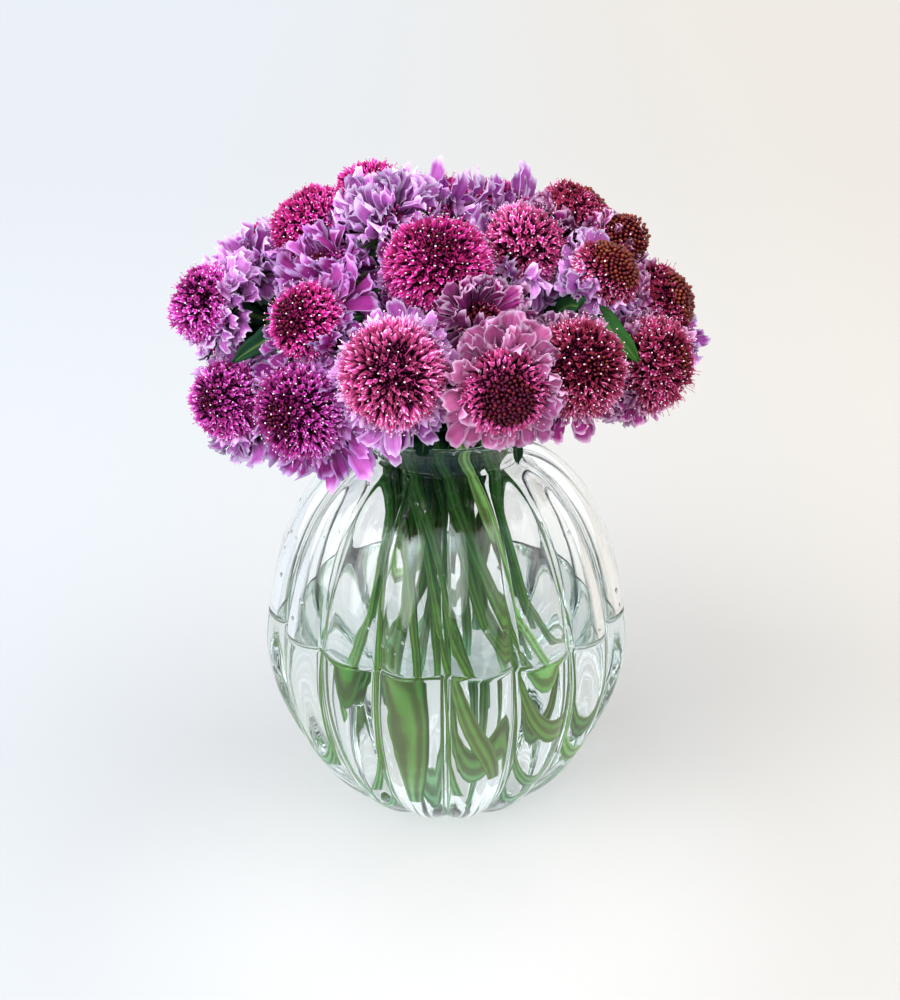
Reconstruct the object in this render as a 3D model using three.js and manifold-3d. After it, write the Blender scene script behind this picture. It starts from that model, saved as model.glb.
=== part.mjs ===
// A posy of scabious blooms standing in a round, sixteen-lobed glass vase part filled with water.
// Millimetres, +Z up. The origin is the middle of the vase's flat foot, the front is towards -Y.
//
// Every bloom keeps to its own cell of space, bounded by the planes half way to its neighbours,
// so the crowded heads press against each other without ever crossing. The stems run as one
// spiral bundle: straight from the glass to the mouth of the vase, then curving out to the heads.

import * as THREE from 'three';
import { mergeVertices } from 'three/addons/utils/BufferGeometryUtils.js';
import Module from 'manifold-3d';

const wasm = await Module();
wasm.setup();

// ---------------------------------------------------------------- driving dimensions, mm
const VASE_HEIGHT = 171;        // foot to the top of the rim
const BELLY_HEIGHT = 76;        // level of the widest girth
const BELLY_RADIUS = 76.8;      // over the crests of the lobes
const FOOT_RADIUS = 25;
const SHOULDER_HEIGHT = 159;    // where the lobes run out into the neck
const NECK_RADIUS = 30.6;
const RIM_RADIUS = 32;
const NECK_BORE = 27.8;         // radius of the opening
const GLASS = 3.2;              // wall at the belly
const FLOOR = 6;                // thick bottom of the bowl
const FLOOR_RADIUS = 21;        // flat inside the bowl
const LOBES = 16;
const LOBE_DEPTH = 0.075;       // depth of a crease as a share of the radius
const COLUMNS_PER_LOBE = 4;
const LOWER_FULLNESS = 1.67;    // superellipse powers of the bowl's profile
const UPPER_FULLNESS = 1.85;
const WATER_HEIGHT = 91;
const GAP = 0.3;                // clearance kept between touching pieces

const STEM_SHARE = 0.125;       // stem radius as a share of its head's
const STEM_RANGE = [1.55, 2.4]; // thinnest and thickest stem radius
const STEM_SIDES = 6;
const MOUTH_HEIGHT = 174;       // the stems run straight up to this level
const MOUTH_RADIUS = 23.5;       // outermost stem there
const SPLAY_RADIUS = 72;        // how far the outermost stem would splay at the level of the foot
const TWIST = 68;               // degrees turned by the bundle from the mouth to the foot
const LEAD = 24;                // degrees a stem turns on from the mouth to its bloom
const STEM_SPACING = 0.25;      // least spacing at the mouth as a share of MOUTH_RADIUS
const CALYX_RADIUS = 4.6;
const HEAD_BACK = 6;            // from a bloom's centre back to its calyx

const PETAL_THICKNESS = 0.9;
const LEAF_THICKNESS = 0.9;

// Blooms: centre x, y, z, the way the face looks (compass angle from +X and height above the
// horizon, degrees), radius of the head, reach of the ray petals, kind.
const BLOOMS = [
  [-93, -14, 226, -160, 20, 15, 25, 'pincushion'],
  [-80, 18, 229, 166, 42, 12, 27, 'frilled'],
  [-75, 50, 228, 145, 40, 13, 27, 'pincushion'],
  [-52, 6, 251, 172, 55, 14, 28, 'pincushion'],
  [-30, 40, 254, 123, 52, 15, 29, 'pincushion'],
  [-24, -4, 256, -165, 70, 13, 30, 'frilled'],
  [-4, 22, 256, 90, 68, 14, 30, 'frilled'],
  [22, 38, 248, 56, 58, 15, 30, 'frilled'],
  [52, 26, 249, 25, 50, 13, 27, 'beaded'],
  [68, 2, 246, 2, 38, 11, 17, 'bud'],
  [-3, -38, 247, -90, 55, 19, 31, 'pincushion'],
  [30, -18, 249, -30, 60, 14, 30, 'pincushion'],
  [61, -26, 242, -24, 46, 12, 27, 'beaded'],
  [84, -10, 225, -8, 25, 14, 25, 'beaded'],
  [78, -38, 210, -30, 14, 16, 27, 'pincushion'],
  [48, -68, 219, -58, 22, 16, 28, 'pincushion'],
  [-51, -54, 232, -133, 30, 13, 28, 'pincushion'],
  [-84, -30, 192, -155, 6, 16, 26, 'pincushion'],
  [-53, -66, 202, -124, 2, 16, 32, 'pincushion'],
  [-19, -80, 221, -98, 24, 21, 29, 'pincushion'],
  [21, -82, 216, -76, 10, 17, 28, 'beaded'],
  [12, -58, 233, -72, 42, 12, 27, 'frilled'],
  [-45, -22, 241, -150, 55, 13, 29, 'frilled'],
  [-88, 38, 200, 158, 12, 16, 27, 'pincushion'],
  [-50, 72, 217, 124, 28, 16, 29, 'frilled'],
  [-13, 76, 229, 98, 38, 17, 31, 'pincushion'],
  [27, 73, 228, 70, 36, 16, 31, 'beaded'],
  [61, 53, 217, 42, 26, 17, 30, 'pincushion'],
  [90, 21, 200, 12, 10, 15, 25, 'frilled'],
];

// Leaves that show between the blooms: the bloom whose stem bears it, the place it fills and
// the way its tip points.
const HIGH_LEAVES = [
  [16, 64, -50, 224, 0.6, -0.6, -0.5],
  [17, -71, -40, 218, -0.75, -0.55, -0.35],
  [13, 50, -48, 236, 0.1, -0.8, 0.55],
];

// Leaves that hang out over the rim: the bloom whose stem bears it, its compass angle, its
// reach from the axis and the level of its tip.
const RIM_LEAVES = [
  [18, -150, 41, 162],
  [21, -47, 41, 166],
  [20, -104, 38, 172],
  [24, 160, 42, 170],
  [27, 72, 41, 169],
  [28, 47, 42, 171],
];

// ---------------------------------------------------------------- small helpers
const vec = (x, y, z) => new THREE.Vector3(x, y, z);
const rad = THREE.MathUtils.degToRad;

// A repeatable stream of numbers between 0 and 1.
function randomStream(seed) {
  let state = seed * 2654435761 % 4294967296;
  return () => {
    state = (state * 1664525 + 1013904223) % 4294967296;
    return state / 4294967296;
  };
}

function solidFrom(points, triangles) {
  const geometry = new THREE.BufferGeometry();
  const numbers = points.flatMap((p) => [p.x, p.y, p.z]);
  geometry.setAttribute('position', new THREE.Float32BufferAttribute(numbers, 3));
  geometry.setIndex(triangles);
  return geometry;
}

function signedVolume(geometry) {
  const at = geometry.getAttribute('position');
  const index = geometry.getIndex();
  let sum = 0;
  for (let i = 0; i < index.count; i += 3) {
    const [a, b, c] = [0, 1, 2].map((k) => new THREE.Vector3().fromBufferAttribute(at, index.getX(i + k)));
    sum += a.dot(b.cross(c)) / 6;
  }
  return sum;
}

// Turns a closed surface inside out if its faces look inwards.
function facingOut(geometry) {
  if (signedVolume(geometry) < 0) {
    const index = geometry.getIndex();
    for (let i = 0; i < index.count; i += 3) {
      const second = index.getX(i + 1);
      index.setX(i + 1, index.getX(i + 2));
      index.setX(i + 2, second);
    }
  }
  return geometry;
}

function toManifold(geometry) {
  const closed = facingOut(geometry);
  return new wasm.Manifold(new wasm.Mesh({
    numProp: 3,
    vertProperties: Float32Array.from(closed.getAttribute('position').array),
    triVerts: Uint32Array.from(closed.getIndex().array),
  }));
}

function fromManifold(body) {
  const mesh = body.getMesh();
  const geometry = new THREE.BufferGeometry();
  geometry.setAttribute('position', new THREE.Float32BufferAttribute(mesh.vertProperties, 3));
  geometry.setIndex(Array.from(mesh.triVerts));
  return geometry;
}

function joined(geometries) {
  return fromManifold(geometries.map(toManifold).reduce((whole, piece) => whole.add(piece)));
}

// A closed skin over rings of equal point count, with a flat or pointed end at either side.
function loft(rings) {
  const sides = rings[0].length;
  const points = rings.flat();
  const triangles = [];
  for (let i = 0; i + 1 < rings.length; i += 1) {
    for (let j = 0; j < sides; j += 1) {
      const k = (j + 1) % sides;
      const [a, b, c, d] = [i * sides + j, i * sides + k, (i + 1) * sides + k, (i + 1) * sides + j];
      triangles.push(a, b, c, a, c, d);
    }
  }
  const last = (rings.length - 1) * sides;
  for (let j = 1; j + 1 < sides; j += 1) {
    triangles.push(0, j + 1, j, last, last + j, last + j + 1);
  }
  return solidFrom(points, triangles);
}

// A thin blade: the same outline and triangles on both faces, set apart along the normal.
function blade(outline, faces, normals, thickness) {
  const count = outline.length;
  const upper = outline.map((p, i) => p.clone().addScaledVector(normals[i], thickness / 2));
  const lower = outline.map((p, i) => p.clone().addScaledVector(normals[i], -thickness / 2));
  const triangles = [];
  for (const [a, b, c] of faces) {
    triangles.push(a, b, c, count + a, count + c, count + b);
  }
  for (let i = 0; i < count; i += 1) {
    const k = (i + 1) % count;
    triangles.push(k, i, count + i, k, count + i, count + k);
  }
  return solidFrom([...upper, ...lower], triangles);
}

// ---------------------------------------------------------------- vase and water
const COLUMNS = LOBES * COLUMNS_PER_LOBE;

// Profile rows run as { r, z, lobe }: radius over the crests, level, share of LOBE_DEPTH.
function bowlRows(steps, foot, floorLevel, belly, neck, shoulder, lobes) {
  const rows = [];
  for (let i = steps; i > 0; i -= 1) {
    const angle = (i / steps) * Math.PI / 2;
    const rise = Math.sin(angle) ** (2 / LOWER_FULLNESS);
    const spread = Math.cos(angle) ** (2 / LOWER_FULLNESS);
    rows.push({
      r: foot + (belly - foot) * spread,
      z: BELLY_HEIGHT - (BELLY_HEIGHT - floorLevel) * rise,
      lobe: lobes[0] + (1 - lobes[0]) * spread ** 0.5,
    });
  }
  rows.push({ r: belly, z: BELLY_HEIGHT, lobe: 1 });
  for (let i = 1; i <= steps; i += 1) {
    const angle = (i / steps) * Math.PI / 2;
    const rise = Math.sin(angle) ** (2 / UPPER_FULLNESS);
    const spread = Math.cos(angle) ** (2 / UPPER_FULLNESS);
    rows.push({
      r: neck + (belly - neck) * spread,
      z: BELLY_HEIGHT + (shoulder - BELLY_HEIGHT) * rise,
      lobe: lobes[1] + (1 - lobes[1]) * spread ** 0.5,
    });
  }
  return rows;
}

const BORE_RADIUS = BELLY_RADIUS - GLASS;
const outsideRows = bowlRows(4, FOOT_RADIUS, 0, BELLY_RADIUS, NECK_RADIUS, SHOULDER_HEIGHT, [0.9, 0.3]);
const insideRows = bowlRows(3, FLOOR_RADIUS, FLOOR, BORE_RADIUS, NECK_BORE, SHOULDER_HEIGHT - 3, [0.6, 0]);

// Share of a row's radius at a compass angle: full on a crest, least in a crease.
function lobeShare(row, angle) {
  const crest = Math.abs(Math.sin((angle + Math.PI / 2) * LOBES / 2));
  return 1 - LOBE_DEPTH * row.lobe * (1 - crest);
}

function lobedSolid(rows) {
  const profile = rows.map((row) => new THREE.Vector2(row.r, row.z));
  const geometry = new THREE.LatheGeometry(profile, COLUMNS);
  geometry.rotateX(Math.PI / 2);
  const at = geometry.getAttribute('position');
  for (let i = 0; i < at.count; i += 1) {
    const row = rows[i % rows.length];
    const share = row.r > 0 ? lobeShare(row, Math.atan2(at.getY(i), at.getX(i))) : 1;
    at.setXYZ(i, at.getX(i) * share, at.getY(i) * share, row.z);
  }
  geometry.deleteAttribute('normal');
  geometry.deleteAttribute('uv');
  return facingOut(mergeVertices(geometry, 1e-3));
}

const plainRow = (r, z) => ({ r, z, lobe: 0 });

function vaseGeometry() {
  return lobedSolid([
    plainRow(0, 0),
    ...outsideRows,
    plainRow(NECK_RADIUS, SHOULDER_HEIGHT + 5),
    plainRow(RIM_RADIUS, VASE_HEIGHT - 3),
    plainRow(RIM_RADIUS - 1.4, VASE_HEIGHT),
    plainRow(NECK_BORE + 0.9, VASE_HEIGHT - 0.8),
    plainRow(NECK_BORE, SHOULDER_HEIGHT + 5),
    ...insideRows.slice().reverse(),
    plainRow(0, FLOOR),
  ]);
}

// The water fills the bowl up to its level, a hair's breadth inside the glass.
function waterRows() {
  const rows = [plainRow(0, FLOOR + GAP)];
  const below = insideRows.filter((row) => row.z <= BELLY_HEIGHT);
  below.forEach((row, i) => {
    const before = below[Math.max(i - 1, 0)];
    const after = insideRows[i + 1];
    const slope = Math.atan2(after.z - before.z, after.r - before.r);
    const inset = i === 0 ? GAP * 0.6 : GAP * Math.sin(slope) * 1.15;
    const lift = i === 0 ? GAP : GAP * Math.cos(slope);
    rows.push({ r: row.r - inset, z: row.z + lift, lobe: row.lobe });
  });
  const [low, high] = [below.at(-1), insideRows[below.length]];
  const share = (WATER_HEIGHT - low.z) / (high.z - low.z);
  rows.push({
    r: low.r + (high.r - low.r) * share - GAP * 1.1,
    z: WATER_HEIGHT,
    lobe: low.lobe + (high.lobe - low.lobe) * share,
  });
  rows.push(plainRow(0, WATER_HEIGHT));
  return rows;
}

// Distance from a point to the inside of the glass, in the upright plane through the axis.
function glassDistance(point) {
  const angle = Math.atan2(point.y, point.x);
  const step = 2 * Math.PI / COLUMNS;
  const column = Math.floor((angle + Math.PI / 2) / step);
  const share = (angle + Math.PI / 2) / step - column;
  const spot = new THREE.Vector2(Math.hypot(point.x, point.y), point.z);
  const profile = [new THREE.Vector2(0, FLOOR)];
  for (const row of insideRows) {
    const near = lobeShare(row, column * step - Math.PI / 2);
    const far = lobeShare(row, (column + 1) * step - Math.PI / 2);
    profile.push(new THREE.Vector2(row.r * (near + (far - near) * share), row.z));
  }
  let least = Infinity;
  for (let i = 0; i + 1 < profile.length; i += 1) {
    const along = profile[i + 1].clone().sub(profile[i]);
    const t = THREE.MathUtils.clamp(spot.clone().sub(profile[i]).dot(along) / along.lengthSq(), 0, 1);
    least = Math.min(least, spot.distanceTo(profile[i].clone().addScaledVector(along, t)));
  }
  return least;
}

// ---------------------------------------------------------------- blooms
const blooms = BLOOMS.map(([x, y, z, compass, height, head, reach, kind], i) => {
  const axis = vec(
    Math.cos(rad(height)) * Math.cos(rad(compass)),
    Math.cos(rad(height)) * Math.sin(rad(compass)),
    Math.sin(rad(height)),
  );
  const side = vec(0, 0, 1).cross(axis).normalize();
  const up = axis.clone().cross(side);
  const stem = THREE.MathUtils.clamp(STEM_SHARE * head, ...STEM_RANGE);
  const weight = (0.8 * reach) ** 2;
  return { id: i + 1, centre: vec(x, y, z), axis, side, up, head, reach, kind, stem, weight };
});

const leafSites = HIGH_LEAVES.map(([bearer, x, y, z, dx, dy, dz]) => (
  { bearer, centre: vec(x, y, z), tip: vec(dx, dy, dz).normalize(), weight: 16 }
));
const sites = [...blooms, ...leafSites];

// The planes that bound a site's cell: unit direction to the neighbour, distance to the plane.
for (const site of sites) {
  site.walls = sites.filter((other) => other !== site).map((other) => {
    const towards = other.centre.clone().sub(site.centre);
    const distance = towards.length();
    const offset = (distance ** 2 + site.weight - other.weight) / (2 * distance) - 0.2;
    return { towards: towards.divideScalar(distance), offset };
  });
}

// How far the cell reaches from its centre in a given direction.
function roomTowards(site, direction) {
  let room = 400;
  for (const wall of site.walls) {
    const facing = direction.dot(wall.towards);
    if (facing > 1e-6) {
      room = Math.min(room, wall.offset / facing);
    }
  }
  return room;
}

// Presses a point back into the cell: untouched near the centre, ever tighter near the wall.
function pressed(site, point) {
  const out = point.clone().sub(site.centre);
  const distance = out.length();
  if (distance < 1e-6) {
    return point;
  }
  const room = roomTowards(site, out.clone().divideScalar(distance));
  const free = 0.6 * room;
  if (distance <= free) {
    return point;
  }
  const squeezed = free + 0.4 * room * (1 - Math.exp(-(distance - free) / (0.4 * room)));
  return site.centre.clone().addScaledVector(out, squeezed / distance);
}

// A point in a bloom's own frame: distance from the axis, angle round it, distance along it.
function onBloom(bloom, radius, angle, along) {
  return bloom.centre.clone()
    .addScaledVector(bloom.side, radius * Math.cos(angle))
    .addScaledVector(bloom.up, radius * Math.sin(angle))
    .addScaledVector(bloom.axis, along);
}

// Tilt that lets a petal of a given length stand in a crowded cell.
function crowdedTilt(bloom, outward, length, least) {
  const room = roomTowards(bloom, outward);
  return least + Math.acos(Math.min(1, 0.97 * room / length)) * 0.6;
}

// Grows a petal out of a facet of the head, given by its four corners in turn: a fan with a
// scalloped, waved edge. Adds its points and triangles and opens the facet round its root.
function growPetal(bloom, points, triangles, corners, spec, random) {
  const [a, b, c, d] = corners;
  const at = (s, t) => points[a].clone().multiplyScalar((1 - s) * (1 - t))
    .addScaledVector(points[b], s * (1 - t))
    .addScaledVector(points[c], s * t)
    .addScaledVector(points[d], (1 - s) * t);
  const middle = at(0.5, 0.5);
  const outward = middle.clone().sub(bloom.centre);
  outward.addScaledVector(bloom.axis, -outward.dot(bloom.axis)).normalize();
  const across = bloom.axis.clone().cross(outward);
  const tilt = crowdedTilt(bloom, outward, spec.reach, spec.least);
  const rootRadius = middle.clone().sub(bloom.centre).dot(outward);
  const halfWidth = 0.86 * (rootRadius + 0.88 * spec.length * Math.cos(tilt)) * Math.PI / spec.count;
  const along = outward.clone().multiplyScalar(Math.cos(tilt)).addScaledVector(bloom.axis, Math.sin(tilt));
  const normal = along.clone().cross(across).normalize();
  const rootWide = Math.min(0.38, 0.5 * halfWidth / points[a].distanceTo(points[b]));
  const rootTall = 0.5 * PETAL_THICKNESS / points[a].distanceTo(points[d]);
  const first = points.length;
  points.push(at(0.5 - rootWide, 0.5 - rootTall), at(0.5 + rootWide, 0.5 - rootTall));
  points.push(at(0.5 + rootWide, 0.5 + rootTall), at(0.5 - rootWide, 0.5 + rootTall));
  const lift = () => (random() - 0.5) * 2.2;
  const tips = [
    [0.86 + 0.08 * random(), -1, lift() - 0.5],
    [0.94 + 0.06 * random(), -0.34, lift() + 0.8],
    [0.98 + 0.06 * random(), 0.34, lift() - 0.8],
    [0.9 + 0.08 * random(), 1, lift() + 1.1],
  ];
  for (const face of [-0.5, 0.5]) {
    for (const [far, wide, raised] of tips) {
      points.push(middle.clone()
        .addScaledVector(along, far * spec.length)
        .addScaledVector(across, wide * halfWidth)
        .addScaledVector(normal, raised + face * PETAL_THICKNESS));
    }
  }
  const [q0, q1, q2, q3] = [first, first + 1, first + 2, first + 3];
  const [low, top] = [first + 4, first + 8];
  triangles.push(a, b, q1, a, q1, q0, b, c, q2, b, q2, q1, c, d, q3, c, q3, q2, d, a, q0, d, q0, q3);
  triangles.push(q3, top, top + 1, q3, top + 1, q2, q2, top + 1, top + 2, q2, top + 2, top + 3);
  triangles.push(q0, low + 1, low, q0, q1, low + 1, q1, low + 2, low + 1, q1, low + 3, low + 2);
  triangles.push(q0, low, top, q0, top, q3, low + 3, q1, q2, low + 3, q2, top + 3);
  for (let k = 0; k < 3; k += 1) {
    triangles.push(low + k, low + k + 1, top + k + 1, low + k, top + k + 1, top + k);
  }
}

// A bloom in one body: the domed head with its florets standing out of it as points, and the
// ray petals that grow out of its side, with a second, upright circle of them on the frilled kind.
function bloomGeometry(bloom) {
  const random = randomStream(bloom.id * 37 + 5);
  const columns = bloom.id > 23 || bloom.kind === 'bud' ? 8 : 9;
  const size = bloom.kind === 'frilled' ? bloom.head * 0.7 : bloom.head;
  const tall = (bloom.kind === 'bud' ? 1.15 : 0.82) * size;
  const proud = bloom.kind === 'beaded' || bloom.kind === 'bud' ? 1.21 : 1.25;
  const profile = [[0.44, -HEAD_BACK], [0.93, -0.28 * size], [0.97, 0.1 * size]];
  profile.push([0.8, 0.52 * tall], [0.42, 0.88 * tall]);
  const points = [];
  const triangles = [];
  profile.forEach(([wide, along], i) => {
    for (let j = 0; j < columns; j += 1) {
      const angle = (j + (i === 3 ? 0 : 0.5)) * 2 * Math.PI / columns;
      const sunk = i > 1 ? 0.93 + (random() - 0.5) * 0.06 : 1;
      points.push(onBloom(bloom, wide * size * sunk, angle, along * sunk));
    }
  });
  const crown = points.push(onBloom(bloom, 0, 0, tall)) - 1;
  const rays = { count: columns, reach: bloom.reach, least: 0.07, length: bloom.reach - 0.95 * size };
  const standing = { count: 4.5, reach: bloom.reach * 0.7, least: 0.8, length: bloom.reach * 0.46 };
  for (let i = 0; i + 1 < profile.length; i += 1) {
    for (let j = 0; j < columns; j += 1) {
      const k = (j + 1) % columns;
      const [a, b, c, d] = [i * columns + j, i * columns + k, (i + 1) * columns + k, (i + 1) * columns + j];
      if (i === 1) {
        growPetal(bloom, points, triangles, [a, b, c, d], rays, random);
      } else if (i === 3 && bloom.kind === 'frilled' && j % 2 === 0 && j < 8) {
        growPetal(bloom, points, triangles, [a, b, c, d], standing, random);
      } else if (i > 1) {
        const floret = points[a].clone().add(points[b]).add(points[c]).add(points[d]).multiplyScalar(0.25);
        floret.sub(bloom.centre).multiplyScalar(proud + (random() - 0.5) * 0.1).add(bloom.centre);
        const tip = points.push(floret) - 1;
        triangles.push(a, b, tip, b, c, tip, c, d, tip, d, a, tip);
      } else {
        triangles.push(a, b, d, b, c, d);
      }
    }
  }
  const last = (profile.length - 1) * columns;
  for (let j = 0; j < columns; j += 1) {
    triangles.push(last + j, last + (j + 1) % columns, crown);
  }
  for (let j = 1; j + 1 < columns; j += 1) {
    triangles.push(0, j + 1, j);
  }
  return facingOut(solidFrom(points.map((p) => pressed(bloom, p)), triangles));
}

// ---------------------------------------------------------------- stems and leaves
// Each stem's place in the bundle, on a disc of radius 1: the rim blooms round the outside,
// the top blooms in the middle, then eased apart until no two are too close.
const places = blooms.map(({ centre }) => {
  const polar = Math.atan2(Math.hypot(centre.x, centre.y), centre.z - 185);
  const compass = Math.atan2(centre.y, centre.x) + rad(LEAD);
  const out = Math.min(1, polar / rad(80));
  return new THREE.Vector2(out * Math.cos(compass), out * Math.sin(compass));
});
for (let round = 0; round < 200; round += 1) {
  for (let i = 0; i < places.length; i += 1) {
    for (let j = 0; j < i; j += 1) {
      const apart = places[i].clone().sub(places[j]);
      const short = STEM_SPACING - apart.length();
      if (short > 0) {
        apart.setLength(short / 2);
        places[i].add(apart);
        places[j].sub(apart);
      }
    }
  }
  places.forEach((place) => place.clampLength(0, 1));
}

function turned(place, radius, degrees) {
  const angle = rad(degrees);
  return new THREE.Vector2(
    radius * (place.x * Math.cos(angle) - place.y * Math.sin(angle)),
    radius * (place.x * Math.sin(angle) + place.y * Math.cos(angle)),
  );
}

function ringAround(centre, direction, radius, sides, flat) {
  const first = flat.clone().cross(direction).normalize();
  const second = direction.clone().cross(first);
  return Array.from({ length: sides }, (_, i) => {
    const angle = i * 2 * Math.PI / sides;
    return centre.clone()
      .addScaledVector(first, radius * Math.cos(angle))
      .addScaledVector(second, radius * Math.sin(angle));
  });
}

// The straight run of a stem, cut square where its foot comes down on the glass.
function straightRun(place, radius) {
  const top = turned(place, MOUTH_RADIUS, 0);
  const low = turned(place, SPLAY_RADIUS, TWIST);
  const mouth = vec(top.x, top.y, MOUTH_HEIGHT);
  const direction = mouth.clone().sub(vec(low.x, low.y, 0)).normalize();
  const clearanceAt = (length) => {
    const foot = mouth.clone().addScaledVector(direction, -length);
    const ring = ringAround(foot, direction, radius, STEM_SIDES, vec(0, 1, 0));
    return ring.some((p) => p.z < FLOOR) ? 0 : Math.min(...ring.map(glassDistance));
  };
  let far = 100;
  while (clearanceAt(far) > GAP + 0.06) {
    far += 0.5;
  }
  let safe = far - 0.5;
  for (let i = 0; i < 16; i += 1) {
    const middle = (safe + far) / 2;
    if (clearanceAt(middle) > GAP + 0.06) {
      safe = middle;
    } else {
      far = middle;
    }
  }
  return { mouth, direction, foot: mouth.clone().addScaledVector(direction, -safe) };
}

for (const bloom of blooms) {
  bloom.run = straightRun(places[bloom.id - 1], bloom.stem);
  const end = bloom.centre.clone().addScaledVector(bloom.axis, -(HEAD_BACK + GAP));
  const length = end.distanceTo(bloom.run.mouth);
  bloom.curve = new THREE.CubicBezierCurve3(
    bloom.run.mouth,
    bloom.run.mouth.clone().addScaledVector(bloom.run.direction, length * 0.34),
    end.clone().addScaledVector(bloom.axis, -length * 0.36),
    end,
  );
}

// A lance-shaped leaf along a curve, widest a third of the way from its tip.
function leafGeometry(curve, flat, halfWidth, site) {
  const widths = [0.25, 0.6, 1, 0.85];
  const left = [];
  const right = [];
  const normalsLeft = [];
  const normalsRight = [];
  widths.forEach((width, i) => {
    const t = i / widths.length;
    const tangent = curve.getTangent(t);
    const across = tangent.clone().cross(flat).normalize();
    const normal = across.clone().cross(tangent).normalize();
    left.push(curve.getPoint(t).addScaledVector(across, halfWidth * width));
    right.push(curve.getPoint(t).addScaledVector(across, -halfWidth * width));
    normalsLeft.push(normal);
    normalsRight.push(normal);
  });
  const outline = [...left, curve.getPoint(1), ...right.slice().reverse()];
  const normals = [...normalsLeft, normalsLeft.at(-1), ...normalsRight.slice().reverse()];
  const count = outline.length;
  const rows = widths.length;
  const faces = [];
  for (let i = 0; i + 1 < rows; i += 1) {
    const [a, b] = [i, i + 1];
    const [c, d] = [count - 2 - i, count - 1 - i];
    faces.push([a, b, c], [a, c, d]);
  }
  faces.push([rows - 1, rows, rows + 1]);
  const geometry = blade(outline, faces, normals, LEAF_THICKNESS);
  if (site) {
    const at = geometry.getAttribute('position');
    for (let i = 0; i < at.count; i += 1) {
      const point = new THREE.Vector3().fromBufferAttribute(at, i);
      const near = point.distanceTo(site.centre) < 16;
      const p = near ? pressed(site, point) : point;
      at.setXYZ(i, p.x, p.y, p.z);
    }
  }
  return geometry;
}

function stemGeometry(bloom) {
  const { run, curve } = bloom;
  const flat = vec(0, 1, 0);
  const rings = [
    ringAround(run.foot, run.direction, bloom.stem, STEM_SIDES, flat),
    ringAround(run.mouth, run.direction, bloom.stem, STEM_SIDES, flat),
  ];
  const length = curve.getLength();
  const stops = [0.28, 0.55, 0.8].map((t) => [t, bloom.stem]);
  stops.push([1 - 5.5 / length, bloom.stem], [1, CALYX_RADIUS]);
  let reference = flat;
  for (const [t, radius] of stops) {
    const tangent = curve.getTangentAt(t);
    if (Math.abs(tangent.dot(reference)) > 0.97) {
      reference = vec(1, 0, 0);
    }
    rings.push(ringAround(curve.getPointAt(t), tangent, radius, STEM_SIDES, flat));
  }
  const parts = [loft(rings)];
  for (const site of leafSites.filter((leaf) => leaf.bearer === bloom.id)) {
    const start = curve.getPointAt(0.5);
    const tip = site.centre.clone().addScaledVector(site.tip, 12);
    const back = site.centre.clone().addScaledVector(site.tip, -10);
    const path = new THREE.CatmullRomCurve3([start, back, site.centre, tip]);
    parts.push(leafGeometry(path, vec(0.2, 0.1, 1), 3.6, site));
  }
  for (const [, compass, reach, level] of RIM_LEAVES.filter(([bearer]) => bearer === bloom.id)) {
    const start = curve.getPointAt(0.06);
    const at = (r, z) => vec(r * Math.cos(rad(compass)), r * Math.sin(rad(compass)), z);
    const path = new THREE.CatmullRomCurve3([start, at(33, 178), at(reach - 2, 176), at(reach, level)]);
    parts.push(leafGeometry(path, vec(0, 0, 1), 3.4));
  }
  return parts.length > 1 ? joined(parts) : facingOut(parts[0]);
}

// The water stands round the stems: each passes through a plain straight hole.
function waterGeometry() {
  let body = toManifold(lobedSolid(waterRows()));
  for (const { run, stem } of blooms) {
    const low = run.foot.clone().addScaledVector(run.direction, -GAP);
    const high = run.mouth.clone().addScaledVector(run.direction, -40);
    const wide = stem + GAP * 1.2;
    const hole = loft([low, high].map((p) => ringAround(p, run.direction, wide, STEM_SIDES, vec(0, 1, 0))));
    body = body.subtract(toManifold(hole));
  }
  return fromManifold(body);
}

// ---------------------------------------------------------------- materials and assembly
const material = (color, roughness, metalness = 0, opacity = 1) => new THREE.MeshStandardMaterial({
  color, roughness, metalness, opacity, transparent: opacity < 1,
});
const glass = material(0xdcecec, 0.04, 0, 0.35);
const water = material(0xe6f4f2, 0.03, 0, 0.3);
const greenStem = material(0x3f6b35, 0.55);
const petalColours = {
  pincushion: material(0xb0236f, 0.7),
  frilled: material(0xc07cc8, 0.65),
  beaded: material(0x8c1744, 0.6),
  bud: material(0x6b3326, 0.7),
};

function named(name, geometry, look) {
  const mesh = new THREE.Mesh(geometry, look);
  mesh.name = name;
  return mesh;
}

const posy = new THREE.Group();
posy.add(named('vase', vaseGeometry(), glass));
posy.add(named('water', waterGeometry(), water));
for (const bloom of blooms) {
  const number = String(bloom.id).padStart(2, '0');
  posy.add(named(`stem_${number}`, stemGeometry(bloom), greenStem));
  posy.add(named(`bloom_${number}`, bloomGeometry(bloom), petalColours[bloom.kind]));
}

export default posy;
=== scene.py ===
"""A posy of scabious blooms standing in a round, lobed glass vase part filled with water.

Laid out as a Blender add-on and run as a script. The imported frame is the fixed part, in metres;
the shapes here are worked out in millimetres, as the part's source does, and scaled at the end.
"""

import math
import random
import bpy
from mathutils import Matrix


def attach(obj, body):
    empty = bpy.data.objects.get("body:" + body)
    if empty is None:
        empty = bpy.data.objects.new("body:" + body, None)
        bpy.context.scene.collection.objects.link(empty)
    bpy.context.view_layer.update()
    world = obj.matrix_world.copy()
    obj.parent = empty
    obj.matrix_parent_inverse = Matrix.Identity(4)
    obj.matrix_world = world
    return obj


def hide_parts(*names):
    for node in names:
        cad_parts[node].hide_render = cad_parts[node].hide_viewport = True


bl_info = {
    "name": "Scabious Posy in a Lobed Vase",
    "version": (1, 0, 0),
    "blender": (4, 5, 0),
    "location": "View3D > Sidebar > Posy",
    "description": "Builds a posy of scabious in a lobed glass vase around its packed frame",
    "category": "Add Mesh",
}

from types import SimpleNamespace

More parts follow.
